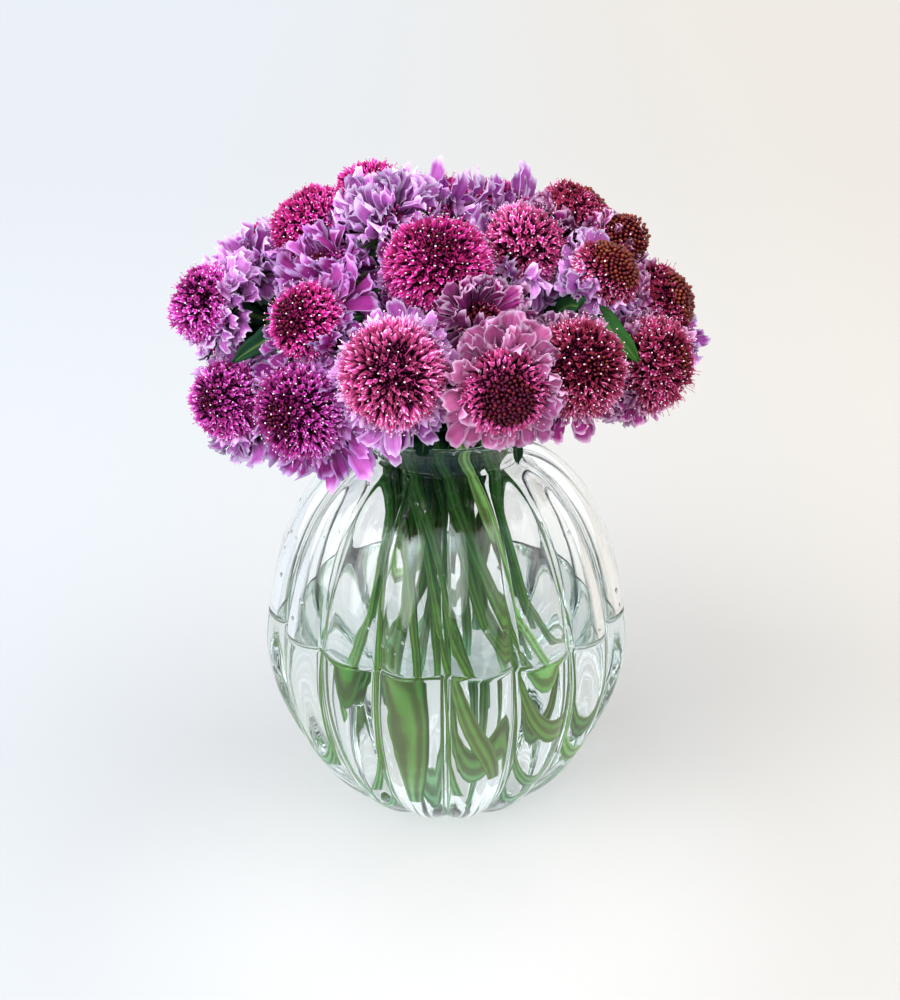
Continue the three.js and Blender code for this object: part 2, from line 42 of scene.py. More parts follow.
import bmesh
import bpy
import numpy as np
from bpy.props import FloatProperty, FloatVectorProperty, IntProperty, PointerProperty
from mathutils import Matrix, Vector

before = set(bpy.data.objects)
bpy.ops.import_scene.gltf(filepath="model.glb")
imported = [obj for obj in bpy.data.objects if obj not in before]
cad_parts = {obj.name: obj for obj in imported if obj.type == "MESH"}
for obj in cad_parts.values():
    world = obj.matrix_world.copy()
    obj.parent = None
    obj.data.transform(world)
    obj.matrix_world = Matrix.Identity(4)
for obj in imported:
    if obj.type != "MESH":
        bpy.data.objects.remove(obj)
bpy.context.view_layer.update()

MM = 0.001
BODY = "root"

# ---------------------------------------------------------------- sizes shared with the frame, mm
BELLY_HEIGHT = 76.0
SHOULDER_HEIGHT = 159.0
NECK_RADIUS = 30.6
RIM_RADIUS = 32.0
NECK_BORE = 27.8
FOOT_RADIUS = 25.0
FLOOR = 6.0  # level of the glass that the water and the stems stand on
FLOOR_RADIUS = 21.0
LOWER_FULLNESS = 1.67  # 1 is a cone and 2 an ellipse, below and above the belly
UPPER_FULLNESS = 1.85
MOUTH_HEIGHT = 174.0  # where the stems are closest together
MOUTH_RADIUS = 23.5
SPLAY_RADIUS = 72.0
TWIST = math.radians(68)  # turn of the bundle from its mouth to the floor
LEAD = math.radians(24)
STEM_SPACING = 0.25  # least distance between stems on a bundle of radius 1
STEM_SHARE = 0.125  # a stem's radius as a share of its head's
STEM_RANGE = (1.55, 2.4)
CALYX_RADIUS = 4.6
HEAD_BACK = 6.0  # from the middle of a head to the back of it
GAP = 0.3

# Points on a stem's path: straight from its foot up to the mouth, then a curve to its bloom.
STRAIGHT_POINTS = 12
CURVED_SPANS = 24
MOUTH_POINT = STRAIGHT_POINTS
LAST_POINT = STRAIGHT_POINTS + CURVED_SPANS

# ---------------------------------------------------------------- fineness and seeds
COLUMNS_OF_LOBE = 12
OUTSIDE_STEPS = 44
INSIDE_STEPS = 40
STEM_SIDES = 12
HAIRS_OF_STEM = 110
DROP_SEED = 5
STEM_SEED = 4000
TEMPLATE_SEED = 77
BLOOM_SEEDS = (900, 31)  # the first seed and the step from bloom to bloom

# ---------------------------------------------------------------- the posy

# Blooms: centre x, y, z, compass and height of the way the face looks (degrees), radius of the
# head, reach of the ray petals, kind, and the colour family of its petals.
BLOOMS = [
    (-93, -14, 226, -160, 20, 15, 25, "pincushion", "violet"),
    (-80, 18, 229, 166, 42, 12, 27, "frilled", "lilac"),
    (-75, 50, 228, 145, 40, 13, 27, "pincushion", "magenta"),
    (-52, 6, 251, 172, 55, 14, 28, "pincushion", "magenta"),
    (-30, 40, 254, 123, 52, 15, 29, "pincushion", "magenta"),
    (-24, -4, 256, -165, 70, 13, 30, "frilled", "lilac"),
    (-4, 22, 256, 90, 68, 14, 30, "frilled", "lilac"),
    (22, 38, 248, 56, 58, 15, 30, "frilled", "lilac"),
    (52, 26, 249, 25, 50, 13, 27, "beaded", "maroon"),
    (68, 2, 246, 2, 38, 11, 17, "bud", "maroon"),
    (-3, -38, 247, -90, 55, 19, 31, "pincushion", "magenta"),
    (30, -18, 249, -30, 60, 14, 30, "pincushion", "pink"),
    (61, -26, 242, -24, 46, 12, 27, "beaded", "heather"),
    (84, -10, 225, -8, 25, 14, 25, "beaded", "maroon"),
    (78, -38, 210, -30, 14, 16, 27, "pincushion", "maroon"),
    (48, -68, 219, -58, 22, 16, 28, "pincushion", "maroon"),
    (-51, -54, 232, -133, 30, 13, 28, "pincushion", "magenta"),
    (-84, -30, 192, -155, 6, 16, 26, "pincushion", "violet"),
    (-53, -66, 202, -124, 2, 16, 32, "pincushion", "plum"),
    (-19, -80, 221, -98, 24, 21, 29, "pincushion", "pink"),
    (21, -82, 216, -76, 10, 17, 28, "beaded", "rose"),
    (12, -58, 233, -72, 42, 12, 27, "frilled", "maroon"),
    (-45, -22, 241, -150, 55, 13, 29, "frilled", "plum"),
    (-88, 38, 200, 158, 12, 16, 27, "pincushion", "magenta"),
    (-50, 72, 217, 124, 28, 16, 29, "frilled", "lilac"),
    (-13, 76, 229, 98, 38, 17, 31, "pincushion", "magenta"),
    (27, 73, 228, 70, 36, 16, 31, "beaded", "maroon"),
    (61, 53, 217, 42, 26, 17, 30, "pincushion", "magenta"),
    (90, 21, 200, 12, 10, 15, 25, "frilled", "lilac"),
]

# Leaves between the blooms: bearer, the place filled, the way the tip points, and its freshness.
HIGH_LEAVES = [
    (16, (64, -50, 224), (0.6, -0.6, -0.5), 1.0),
    (17, (-71, -40, 218), (-0.75, -0.55, -0.35), 0.1),
    (13, (50, -48, 236), (0.1, -0.8, 0.55), 0.5),
]
LEAF_SITE_WEIGHT = 16

# Leaves that hang out over the rim: bearer, compass, reach from the axis, level of the tip.
RIM_LEAVES = [
    (18, -150, 41, 162),
    (21, -47, 41, 166),
    (20, -104, 38, 172),
    (24, 160, 42, 170),
    (27, 72, 41, 169),
    (28, 47, 42, 171),
]

# Stems lightened to the bracts' yellow green: painted light, as if brightly lit.
PAINTED_LIGHT_STEMS = (20, 28)

# A bloom whose cell reaches further than this on one side stands free there, mm.
OPEN_SIDE = 60.0

# How far petals may reach past the plane half way to the next bloom, mm: they interlock.
CELL_OVERLAP = 6.5

SLOT_OF_KIND = {
    "pincushion": "petal_crimson",
    "frilled": "petal_lilac",
    "beaded": "petal_maroon",
    "bud": "bud_brown",
}

# Rings of ray florets by kind: count, root radius and root level as shares of the head,
# reach as a share of the bloom's, tilt in radians, and the share of them that stand up where
# the neighbours crowd them; the others are pushed back.
RAY_RINGS = {
    "pincushion": [
        (11, 0.50, -0.56, 1.00, -0.20, 0.05),
        (12, 0.62, -0.36, 0.97, 0.02, 0.20),
    ],
    "frilled": [
        (10, 0.44, -0.44, 1.00, -0.08, 0.4),
        (11, 0.50, -0.16, 0.97, 0.20, 0.7),
        (9, 0.52, 0.08, 0.82, 0.50, 0.9),
        (6, 0.42, 0.30, 0.64, 0.90, 1.0),
    ],
    "beaded": [
        (11, 0.50, -0.46, 1.00, -0.16, 0.2),
        (12, 0.62, -0.26, 1.00, 0.06, 0.4),
        (10, 0.72, -0.14, 0.92, 0.30, 0.6),
    ],
    "bud": [
        (9, 0.62, -0.30, 0.98, 0.35, 0.8),
        (8, 0.68, -0.05, 0.86, 0.75, 1.0),
    ],
}

# Shapes of the lobes of ray florets by kind: how many, half width, ruffle, curl.
LOBE_SHAPES = {
    "pincushion": (14, (0.15, 0.21), 0.06, (-0.30, 0.35)),
    "frilled": (16, (0.13, 0.185), 0.08, (-0.35, 0.45)),
    "beaded": (14, (0.19, 0.26), 0.06, (-0.30, 0.30)),
}

# The lobes of one ray floret: turn to the side, length against the longest, lift, in radians.
LOBES_OF_RAY = ((0.05, 1.0, 0.0), (0.36, 0.84, 0.14), (-0.34, 0.86, 0.10))

# What stands on a head by kind: florets, collar florets, closed beads and their radius in mm,
# stamens, the share of the dome that the beads take, and the share kept free of stamens.
HEAD_COLUMNS = ("florets", "collar", "beads", "bead", "pins", "buds", "pin_free")
HEADS = {
    kind: SimpleNamespace(**dict(zip(HEAD_COLUMNS, row)))
    for kind, row in {
        "pincushion": (500, 46, 700, 0.55, 205, 0.07, 0.0),
        "frilled": (460, 40, 600, 0.55, 200, 0.14, 0.0),
        "beaded": (480, 50, 720, 0.74, 120, 0.46, 0.46),
        "bud": (300, 0, 640, 0.72, 40, 0.80, 0.3),
    }.items()
}
HEAD_OF_COUNTS = 16.0  # the counts above are for a dome of this radius, mm

# Size of the dome of florets as a share of the head, by kind.
DOME_SHARE = {"pincushion": 1.0, "frilled": 0.66, "beaded": 0.92, "bud": 1.0}
CORE_SHARE = 0.84
DOME_HEIGHT = {"pincushion": 0.94, "frilled": 0.82, "beaded": 0.86, "bud": 1.15}

# How much further a bloom's petals spill over its neighbours, or less where it is negative, mm.
SPILL = {
    1: 5.0, 6: -4.0, 7: -3.0, 8: -1.0, 17: 2.0, 18: 3.0, 20: 5.0, 21: 5.0, 22: -4.0, 23: -4.0,
}

# Heads that turn a little from the way their stem ends: compass and height in degrees.
TURNED_HEADS = {21: (-82, -6), 18: (-132, 18), 24: (168, 8)}

# Blooms whose dome departs from its kind's: share of the head, share taken by closed buds,
# and how many of the kind's rings of rays it bears.
DOME_OF_BLOOM = {
    1: (0.96, 0.05, 2), 4: (1.14, 0.05, 2), 5: (0.98, 0.05, 1), 7: (1.00, 0.10, 2),
    8: (1.00, 0.12, 2), 9: (1.20, 0.30, 1), 11: (1.04, 0.14, 2), 12: (1.16, 0.04, 2),
    13: (1.14, 0.52, 2), 14: (1.10, 0.44, 2), 15: (1.08, 0.16, 2), 16: (1.08, 0.14, 2),
    17: (1.06, 0.30, 2), 18: (0.93, 0.14, 2), 19: (1.08, 0.20, 2), 20: (0.87, 0.0, 2),
    21: (0.92, 0.36, 3), 22: (0.70, 0.18, 3), 23: (0.80, 0.18, 3),
}


# ---------------------------------------------------------------- settings
def length(name, description, default):
    return FloatProperty(name=name, description=description, default=default, unit="LENGTH")


def strength(name, description, default):
    return FloatProperty(name=name, description=description, default=default, min=0)


def colour(name, description, default):
    return FloatVectorProperty(
        name=name, description=description, default=default, size=3, min=0, max=1,
        subtype="COLOR",
    )


class PosyVaseSettings(bpy.types.PropertyGroup):
    """Sizes and colours of the vase and its water"""

    height: length("Height", "Foot to the top of the rim", 0.171)
    belly_radius: length("Belly radius", "Widest radius, over the crests of the lobes", 0.0768)
    wall: length("Wall", "Thickness of the glass at the belly", 0.0032)
    lobes: IntProperty(
        name="Lobes", description="Number of lobes round the vase", default=16, min=3,
    )
    lobe_depth: FloatProperty(
        name="Lobe depth", description="Depth of a crease as a share of the radius",
        default=0.075, subtype="FACTOR", min=0, max=0.3,
    )
    water_level: length("Water level", "Height of the water's surface over the foot", 0.091)
    drops: IntProperty(
        name="Drops", description="Number of drops on the glass above the water",
        default=70, min=0,
    )
    glass_colour: colour("Glass", "Colour of the glass in a thick layer", (0.26, 0.72, 0.82))
    water_colour: colour("Water", "Colour of the water in a deep layer", (0.78, 0.94, 0.92))


class PosyStemSettings(bpy.types.PropertyGroup):
    """Sizes and colours of the stems and leaves"""

    hair_length: length("Hair length", "Length of the fine hairs on the stems", 0.0009)
    leaf_thickness: length("Leaf thickness", "Thickness of a leaf", 0.0005)
    deep_colour: colour("Stem in shade", "Stem colour at the vase's mouth", (0.020, 0.092, 0.014))
    wet_colour: colour("Stem in water", "Stem colour under water", (0.078, 0.165, 0.018))
    foot_colour: colour("Stem foot", "Bleached colour of the lowest ends", (0.24, 0.46, 0.26))
    leaf_colour: colour("Leaf", "Colour of the leaves", (0.006, 0.046, 0.020))
    young_leaf_colour: colour("Young leaf", "Leaves between the blooms", (0.028, 0.15, 0.014))
    bract_colour: colour("Bract", "Colour of calyx and bracts", (0.21, 0.33, 0.10))


class PosyBloomSettings(bpy.types.PropertyGroup):
    """Sizes and colours of the blooms"""

    pin_head: length("Pin head radius", "Radius of a stamen's pale head", 0.00037)
    magenta_ray: colour("Magenta rays", "Ray petals of the magenta blooms", (0.50, 0.060, 0.39))
    magenta_floret: colour("Magenta florets", "Florets of the magenta blooms", (0.70, 0.040, 0.33))
    violet_floret: colour("Violet florets", "Florets of the violet blooms", (0.68, 0.068, 0.49))
    plum_floret: colour("Plum florets", "Florets of the plum blooms", (0.53, 0.042, 0.36))
    lilac_ray: colour("Lilac rays", "Ray petals of the lilac blooms", (0.68, 0.21, 0.67))
    lilac_floret: colour("Lilac florets", "Florets of the lilac blooms", (0.66, 0.055, 0.36))
    maroon_ray: colour("Maroon rays", "Ray petals of the maroon blooms", (0.38, 0.070, 0.27))
    maroon_floret: colour("Maroon florets", "Florets of the maroon blooms", (0.46, 0.040, 0.145))
    pale_ray: colour("Pale rays", "Palest petals of lilac and rose blooms", (0.88, 0.53, 0.92))
    rose_ray: colour("Rose rays", "Ray petals of the rose blooms", (0.74, 0.21, 0.49))
    rose_floret: colour("Rose florets", "Florets of the rose blooms", (0.70, 0.090, 0.34))
    pale_edge: colour("Petal edge", "Pale edge of the ray petals", (0.92, 0.80, 1.0))
    mauve_edge: colour("Mauve edge", "Edge of the magenta ray petals", (0.80, 0.58, 0.93))
    cream_edge: colour("Cream edge", "Edge of the rose and maroon ray petals", (0.84, 0.62, 0.82))
    pin_colour: colour("Pin heads", "Colour of the stamens' heads", (0.93, 0.84, 0.86))
    brown_bead_colour: colour("Brown buds", "Buds of the maroon blooms", (0.27, 0.032, 0.018))
    bead_colour: colour("Closed buds", "Colour of the other closed buds", (0.17, 0.004, 0.028))


class PosyStageSettings(bpy.types.PropertyGroup):
    """Floor and light of the studio"""

    floor_colour: colour("Floor", "Colour of the plain floor", (0.548, 0.546, 0.542))
    key_power: strength("Key light", "Strength of the main soft light", 2.3)
    fill_power: strength("Fill light", "Strength of the second soft light", 0.6)
    sky_power: strength("Sky", "Strength of the light from all round", 1.33)


# ---------------------------------------------------------------- making pieces
def new_bmesh():
    """A bmesh with the layers that every petal, floret and stem carries."""
    bm = bmesh.new()
    bm.verts.layers.float.new("along")
    bm.verts.layers.float.new("edge")
    bm.loops.layers.uv.new("UVMap")
    return bm


def piece_from(bm, name, materials, slot, *replaced):
    """Makes a finished piece of a bmesh in millimetres and ties it to the frame."""
    mesh = bpy.data.meshes.new(name)
    bm.to_mesh(mesh)
    bm.free()
    mesh.shade_smooth()
    return piece_from_mesh(mesh, name, materials, slot, *replaced)


def piece_from_mesh(mesh, name, materials, slot, *replaced):
    """Ties a mesh in millimetres to the frame as a finished piece that stands for CAD nodes."""
    mesh.transform(Matrix.Scale(MM, 4))
    for finish in materials:
        mesh.materials.append(finish)
    piece = bpy.data.objects.new(name, mesh)
    bpy.context.scene.collection.objects.link(piece)
    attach(piece, BODY)
    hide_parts(*replaced)
    return piece


def read_points(mesh):
    points = np.empty(len(mesh.vertices) * 3)
    mesh.vertices.foreach_get("co", points)
    return points.reshape(-1, 3)


def write_points(mesh, points):
    mesh.vertices.foreach_set("co", np.asarray(points).reshape(-1))
    mesh.update()


def add_float(mesh, name, values):
    layer = mesh.attributes.get(name) or mesh.attributes.new(name, "FLOAT", "POINT")
    layer.data.foreach_set("value", np.asarray(values, dtype=np.float32))


# ---------------------------------------------------------------- materials
class Nodes:
    """A node tree in the making, with short ways to add to it."""

    def __init__(self, tree):
        self.nodes, self.links = tree.nodes, tree.links
        self.nodes.clear()

    def node(self, kind, settings=None, **inputs):
        """Adds a node; the settings are its own, and the named inputs are its sockets."""
        made = self.nodes.new("ShaderNode" + kind)
        for key, value in (settings or {}).items():
            setattr(made, key, value)
        for key, value in inputs.items():
            self.put(made.inputs[key.replace("_", " ")], value)
        return made

    def put(self, socket, value):
        if isinstance(value, bpy.types.NodeSocket):
            self.links.new(value, socket)
        elif socket.type == "RGBA" and len(value) == 3:
            socket.default_value = (*value, 1)
        else:
            socket.default_value = value

    def math(self, operation, first, second, clamp=False):
        made = self.node("Math", {"operation": operation, "use_clamp": clamp})
        self.put(made.inputs[0], first)
        self.put(made.inputs[1], second)
        return made.outputs[0]

    def vector(self, operation, first, second):
        made = self.node("VectorMath", {"operation": operation})
        self.put(made.inputs[0], first)
        self.put(made.inputs[1], second)
        return made.outputs["Value"]

    def ramp(self, value, low, high, to_low=0.0, to_high=1.0, course="SMOOTHSTEP"):
        made = self.node("MapRange", {"interpolation_type": course}, Value=value)
        ends = {"From Min": low, "From Max": high, "To Min": to_low, "To Max": to_high}
        for key, number in ends.items():
            made.inputs[key].default_value = number
        return made.outputs["Result"]

    def mix(self, share, first, second):
        made = self.node("Mix", {"data_type": "RGBA"})
        for socket, value in zip((made.inputs[0], *made.inputs[6:8]), (share, first, second)):
            self.put(socket, value)
        return made.outputs[2]

    def mirrored(self, path):
        """1 for rays that have met a mirror on their way, and 0 for the others."""
        return self.math("MULTIPLY", path["Glossy Depth"], 1.0, clamp=True)


class Finish(Nodes):
    """A procedural material in the making."""

    def __init__(self, name):
        self.material = bpy.data.materials.new(name)
        self.material.use_nodes = True
        super().__init__(self.material.node_tree)
        self.output = self.node("OutputMaterial")

    def attribute(self, name):
        return self.node("Attribute", {"attribute_name": name}).outputs["Fac"]

    def place(self):
        return self.node("TexCoord").outputs["Object"]

    def noise(self, vector, scale, detail=3.0, roughness=0.5):
        inputs = {"Vector": vector, "Scale": scale, "Detail": detail, "Roughness": roughness}
        return self.node("TexNoise", **inputs).outputs["Fac"]

    def varied(self, base, tone, hue=0.05, value=0.5):
        """The colour turned in hue and value by tone, a number from 0 to 1."""
        hues = self.ramp(tone, 0, 1, 0.5 - hue / 2, 0.5 + hue / 2)
        values = self.ramp(tone, 0, 1, 1 - value / 2, 1 + value / 2)
        return self.node("HueSaturation", Color=base, Hue=hues, Value=values).outputs[0]

    def bump(self, height, strength, distance):
        made = self.node("Bump", Height=height, Strength=strength, Distance=distance)
        return made.outputs["Normal"]

    def skin(self, base, normal=None, **fixed):
        """The shader of an opaque surface."""
        made = self.node("BsdfPrincipled", Base_Color=base, **fixed)
        if normal is not None:
            self.put(made.inputs["Normal"], normal)
        return made.outputs[0]

    def mixed(self, share, first, second):
        made = self.node("MixShader")
        for socket, value in zip(made.inputs, (share, first, second)):
            self.put(socket, value)
        return made.outputs[0]

    def thin(self, solid, base, share):
        """Lets a share of the light pass through a thin petal or leaf."""
        glow = self.node("BsdfTranslucent", Color=base).outputs[0]
        return self.mixed(share, solid, glow)

    def done(self, shader, volume=None):
        self.links.new(shader, self.output.inputs["Surface"])
        if volume is not None:
            self.links.new(volume, self.output.inputs["Volume"])
        return self.material


def clear_finish(name, ior, tint, density):
    """Clear glass or water that lets soft light through, deeper in colour where it is thick."""
    f = Finish(name)
    waves = f.bump(f.noise(f.place(), 60.0, 1.0), 0.08, 0.002)
    bright = f.node("BsdfGlass", Color=(1, 1, 1), Roughness=0.0, IOR=ior, Normal=waves)
    open_way = f.node("BsdfTransparent", Color=(1, 1, 1))
    path = f.node("LightPath").outputs
    soft = f.math("MAXIMUM", path["Is Shadow Ray"], path["Is Diffuse Ray"])
    depth = f.node("VolumeAbsorption", Color=tint, Density=density)
    return f.done(f.mixed(soft, bright.outputs[0], open_way.outputs[0]), depth.outputs[0])


def ray_finish(name, body, light, edge, root):
    """Ruffled ray petal: deep at its root, veined along its length, pale along its edge."""
    f = Finish(name)
    along, rim, tone = f.attribute("along"), f.attribute("edge"), f.attribute("tone")
    place = f.place()
    own = f.node("UVMap", {"uv_map": "UVMap"}).outputs["UV"]
    lengthwise = f.node("Mapping", Vector=own, Scale=(13.0, 1.6, 1.0)).outputs[0]
    veins = f.noise(lengthwise, 1.0, 2.0)
    cloud = f.noise(place, 170.0, 3.0)
    full = f.mix(f.ramp(tone, 0.45, 0.95), body, light)
    outer = f.math("ADD", along, f.math("MULTIPLY", cloud, 0.3))
    blush = f.mix(f.ramp(outer, 0.14, 0.88), root, full)
    veined = f.mix(f.ramp(veins, 0.42, 0.68, 0.0, 0.26), blush, root)
    drift = f.math("MULTIPLY", f.noise(place, 90.0, 4.0, 0.6), 1.1)
    frost = f.ramp(f.math("ADD", rim, drift), 0.46, 1.50, 0.0, 0.92)
    edged = f.mix(frost, veined, edge)
    base = f.varied(edged, tone, 0.03, 0.45)
    normal = f.bump(veins, 0.35, 0.0004)
    return f.done(f.thin(f.skin(base, normal, Roughness=0.7, Specular_IOR_Level=0.12), base, 0.35))


def floret_finish(name, tip, root, edge):
    """Small floret of the head: dark in its throat, partly as painted shade, brighter and pale at
    its tips.
    """
    f = Finish(name)
    along, rim, tone = f.attribute("along"), f.attribute("edge"), f.attribute("tone")
    grain = f.noise(f.place(), 420.0, 2.0)
    rise = f.ramp(f.math("ADD", along, f.math("MULTIPLY", grain, 0.35)), 0.20, 0.95)
    # Dark towards the throat: partly the floret's own crimson, partly painted shade.
    base = f.mix(rise, root, tip)
    frost = f.math("MULTIPLY", f.ramp(rim, 0.35, 1.0), f.ramp(tone, 0.20, 1.0, 0.08, 0.92))
    pale = f.mix(frost, base, edge)
    shade = f.varied(pale, tone, -0.03, 0.75)
    normal = f.bump(grain, 0.3, 0.0003)
    return f.done(f.skin(shade, normal, Roughness=0.6, Specular_IOR_Level=0.14))


def dotted_finish(name, base, second, roughness, scale):
    """A plain grown surface whose colour drifts between two close tones."""
    f = Finish(name)
    grain = f.noise(f.place(), scale, 3.0)
    tone = f.attribute("tone")
    shade = f.varied(f.mix(f.ramp(grain, 0.35, 0.65), base, second), tone, 0.03, 0.5)
    return f.done(f.skin(shade, f.bump(grain, 0.3, 0.0003), Roughness=roughness))


def core_finish(name, tip, root):
    """Core of a head, seen between the florets: young florets, each painted dark round its foot,
    as shade.
    """
    f = Finish(name)
    place = f.place()
    spots = f.node("TexVoronoi", Vector=place, Scale=1000.0).outputs["Distance"]
    patch = f.ramp(f.noise(place, 260.0, 2.0), 0.35, 0.65, 0.15, 0.8)
    share = f.math("MULTIPLY", f.ramp(spots, 0.15, 0.60, 1.0, 0.0), patch)
    # The near black round each foot is painted shade between the florets.
    base = f.mix(share, root, tip)
    return f.done(f.skin(base, f.bump(share, 0.8, 0.0006), Roughness=0.8, Specular_IOR_Level=0.0))


def stem_finish(s):
    """Stem: bleached foot, fresh green under water, painted shade towards the mouth, ribbed
    lengthwise.
    """
    f = Finish("Stem green")
    place = f.place()
    level = f.node("SeparateXYZ", Vector=place).outputs["Z"]
    grain = f.noise(place, 260.0, 3.0)
    ribs = f.math("MULTIPLY", f.attribute("edge"), 0.55)
    streak = f.math("ADD", ribs, f.math("MULTIPLY", grain, 0.45))
    blotch = f.noise(place, 45.0, 2.0)
    low = f.mix(f.ramp(level, 0.010, 0.048), s.foot_colour, s.wet_colour)
    # Darker towards the mouth: painted shade of the crowded neck under the blooms.
    full = f.mix(f.ramp(level, 0.080, 0.150), low, s.deep_colour)
    high = f.mix(f.ramp(level, 0.180, 0.215), full, s.bract_colour)
    tone = f.attribute("tone")
    # Painted light: a stem with tone 1 turns most of the way to the bracts' lighter yellow green.
    own = f.mix(f.ramp(tone, 0.86, 1.0, 0.0, 0.85), high, s.bract_colour)
    drift = f.math("MULTIPLY", f.math("ADD", blotch, tone), 0.5)
    ribbed = f.varied(own, f.ramp(streak, 0.25, 0.75), 0.04, 0.75)
    shade = f.varied(ribbed, drift, 0.04, 0.45)
    normal = f.bump(streak, 0.5, 0.0004)
    return f.done(f.skin(shade, normal, Roughness=0.5, Specular_IOR_Level=0.2))


def leaf_finish(s):
    """Leaf: darker between its pale midrib and side veins."""
    f = Finish("Leaf green")
    place = f.place()
    rib = f.attribute("edge")
    blotch = f.noise(place, 140.0, 3.0)
    blade = f.mix(f.attribute("along"), s.leaf_colour, s.young_leaf_colour)
    base = f.mix(f.ramp(rib, 0.55, 1.0, 0.0, 0.5), blade, s.bract_colour)
    shade = f.varied(base, blotch, 0.05, 0.7)
    matt = f.skin(shade, f.bump(blotch, 0.4, 0.0005), Roughness=0.5, Specular_IOR_Level=0.25)
    return f.done(f.thin(matt, shade, 0.12))


# ---------------------------------------------------------------- vase and water
# The depth of the lobes low at the foot and high at the shoulder, as shares of the belly's.
OUTSIDE_LOBES = (0.9, 0.3)
INSIDE_LOBES = (0.6, 0)

# How rounded a crease is, outside and inside: 0 is a sharp fold.
CREASE_BLUR = (0.002, 0.02)


def bowl_rows(steps, foot, floor_level, belly, neck, shoulder, lobes):
    """Rows from foot to shoulder: radius over the crests, level, share of the lobe depth."""
    rows = []
    for i in range(steps, 0, -1):
        angle = i / steps * math.pi / 2
        rise = math.sin(angle) ** (2 / LOWER_FULLNESS)
        spread = max(0.0, math.cos(angle)) ** (2 / LOWER_FULLNESS)
        rows.append((
            foot + (belly - foot) * spread,
            BELLY_HEIGHT - (BELLY_HEIGHT - floor_level) * rise,
            lobes[0] + (1 - lobes[0]) * spread ** 0.5,
        ))
    rows.append((belly, BELLY_HEIGHT, 1.0))
    for i in range(1, steps + 1):
        angle = i / steps * math.pi / 2
        rise = math.sin(angle) ** (2 / UPPER_FULLNESS)
        spread = max(0.0, math.cos(angle)) ** (2 / UPPER_FULLNESS)
        rows.append((
            neck + (belly - neck) * spread,
            BELLY_HEIGHT + (shoulder - BELLY_HEIGHT) * rise,
            lobes[1] + (1 - lobes[1]) * spread ** 0.5,
        ))
    return rows


def crest_of(turn, blur):
    """How near a crest is at a turn about the axis: 1 on it and about 0 in a crease."""
    return math.sqrt(math.sin(turn) ** 2 + blur) / math.sqrt(1 + blur)


def spun_lobed(rows, s):
    """Spins a profile into a closed body and presses the creases between its lobes in."""
    bm = bmesh.new()
    lobe = bm.verts.layers.float.new("lobe")
    inner = bm.verts.layers.float.new("inner")
    chain = []
    for radius, level, share, inside in rows:
        v = bm.verts.new((0, -radius, level))
        v[lobe], v[inner] = share, inside
        chain.append(v)
    edges = [bm.edges.new(pair) for pair in zip(chain, chain[1:])]
    bmesh.ops.spin(
        bm, geom=chain + edges, cent=(0, 0, 0), axis=(0, 0, 1), dvec=(0, 0, 0),
        angle=2 * math.pi, steps=s.lobes * COLUMNS_OF_LOBE, use_merge=True,
    )
    bmesh.ops.remove_doubles(bm, verts=bm.verts[:], dist=1e-4)
    for v in bm.verts:
        angle = math.atan2(v.co.y, v.co.x) + math.pi / 2
        crest = crest_of(angle * s.lobes / 2, CREASE_BLUR[v[inner] > 0.5])
        share = 1 - s.lobe_depth * v[lobe] * (1 - crest)
        v.co.x *= share
        v.co.y *= share
    bmesh.ops.recalc_face_normals(bm, faces=bm.faces[:])
    if bm.calc_volume(signed=True) < 0:
        bmesh.ops.reverse_faces(bm, faces=bm.faces[:])
    return bm


def inside_rows(s):
    """The profile of the inside of the glass."""
    belly = s.belly_radius / MM - s.wall / MM
    shoulder = SHOULDER_HEIGHT - 3
    return bowl_rows(INSIDE_STEPS, FLOOR_RADIUS, FLOOR, belly, NECK_BORE, shoulder, INSIDE_LOBES)


class POSY_OT_vase(bpy.types.Operator):
    """Blow the lobed glass vase"""

    bl_idname = "posy.vase"
    bl_label = "Vase"

    def execute(self, context):
        s = context.scene.posy_vase
        height, belly = s.height / MM, s.belly_radius / MM
        outside = bowl_rows(
            OUTSIDE_STEPS, FOOT_RADIUS, 0, belly, NECK_RADIUS, SHOULDER_HEIGHT, OUTSIDE_LOBES,
        )
        under = [(0, 0.8, 0), (12, 0.8, 0.2), (19, 0.3, 0.7)]
        neck = [
            (NECK_RADIUS - 0.1, 161.5, 0.12), (NECK_RADIUS, 164, 0), (31.2, 166, 0),
            (RIM_RADIUS, 168, 0), (RIM_RADIUS, 169.6, 0), (RIM_RADIUS - 0.5, 170.6, 0),
        ]
        bore = [
            (NECK_RADIUS, height, 0), (29.6, height - 0.1, 0), (NECK_BORE + 0.9, height - 0.8, 0),
            (NECK_BORE + 0.3, 168.6, 0), (NECK_BORE, 164, 0), (NECK_BORE, 160, 0),
        ]
        floor = [(14, FLOOR - 0.1, 0.3), (7, FLOOR, 0), (0, FLOOR, 0)]
        rows = [(*row, 0) for row in under + outside + neck]
        rows += [(*row, 1) for row in bore + inside_rows(s)[::-1] + floor]
        bm = spun_lobed(rows, s)
        finish = clear_finish("Clear glass", 1.50, s.glass_colour, 3.4)
        piece_from(bm, "Vase", [finish], "glass", "vase")
        return {"FINISHED"}


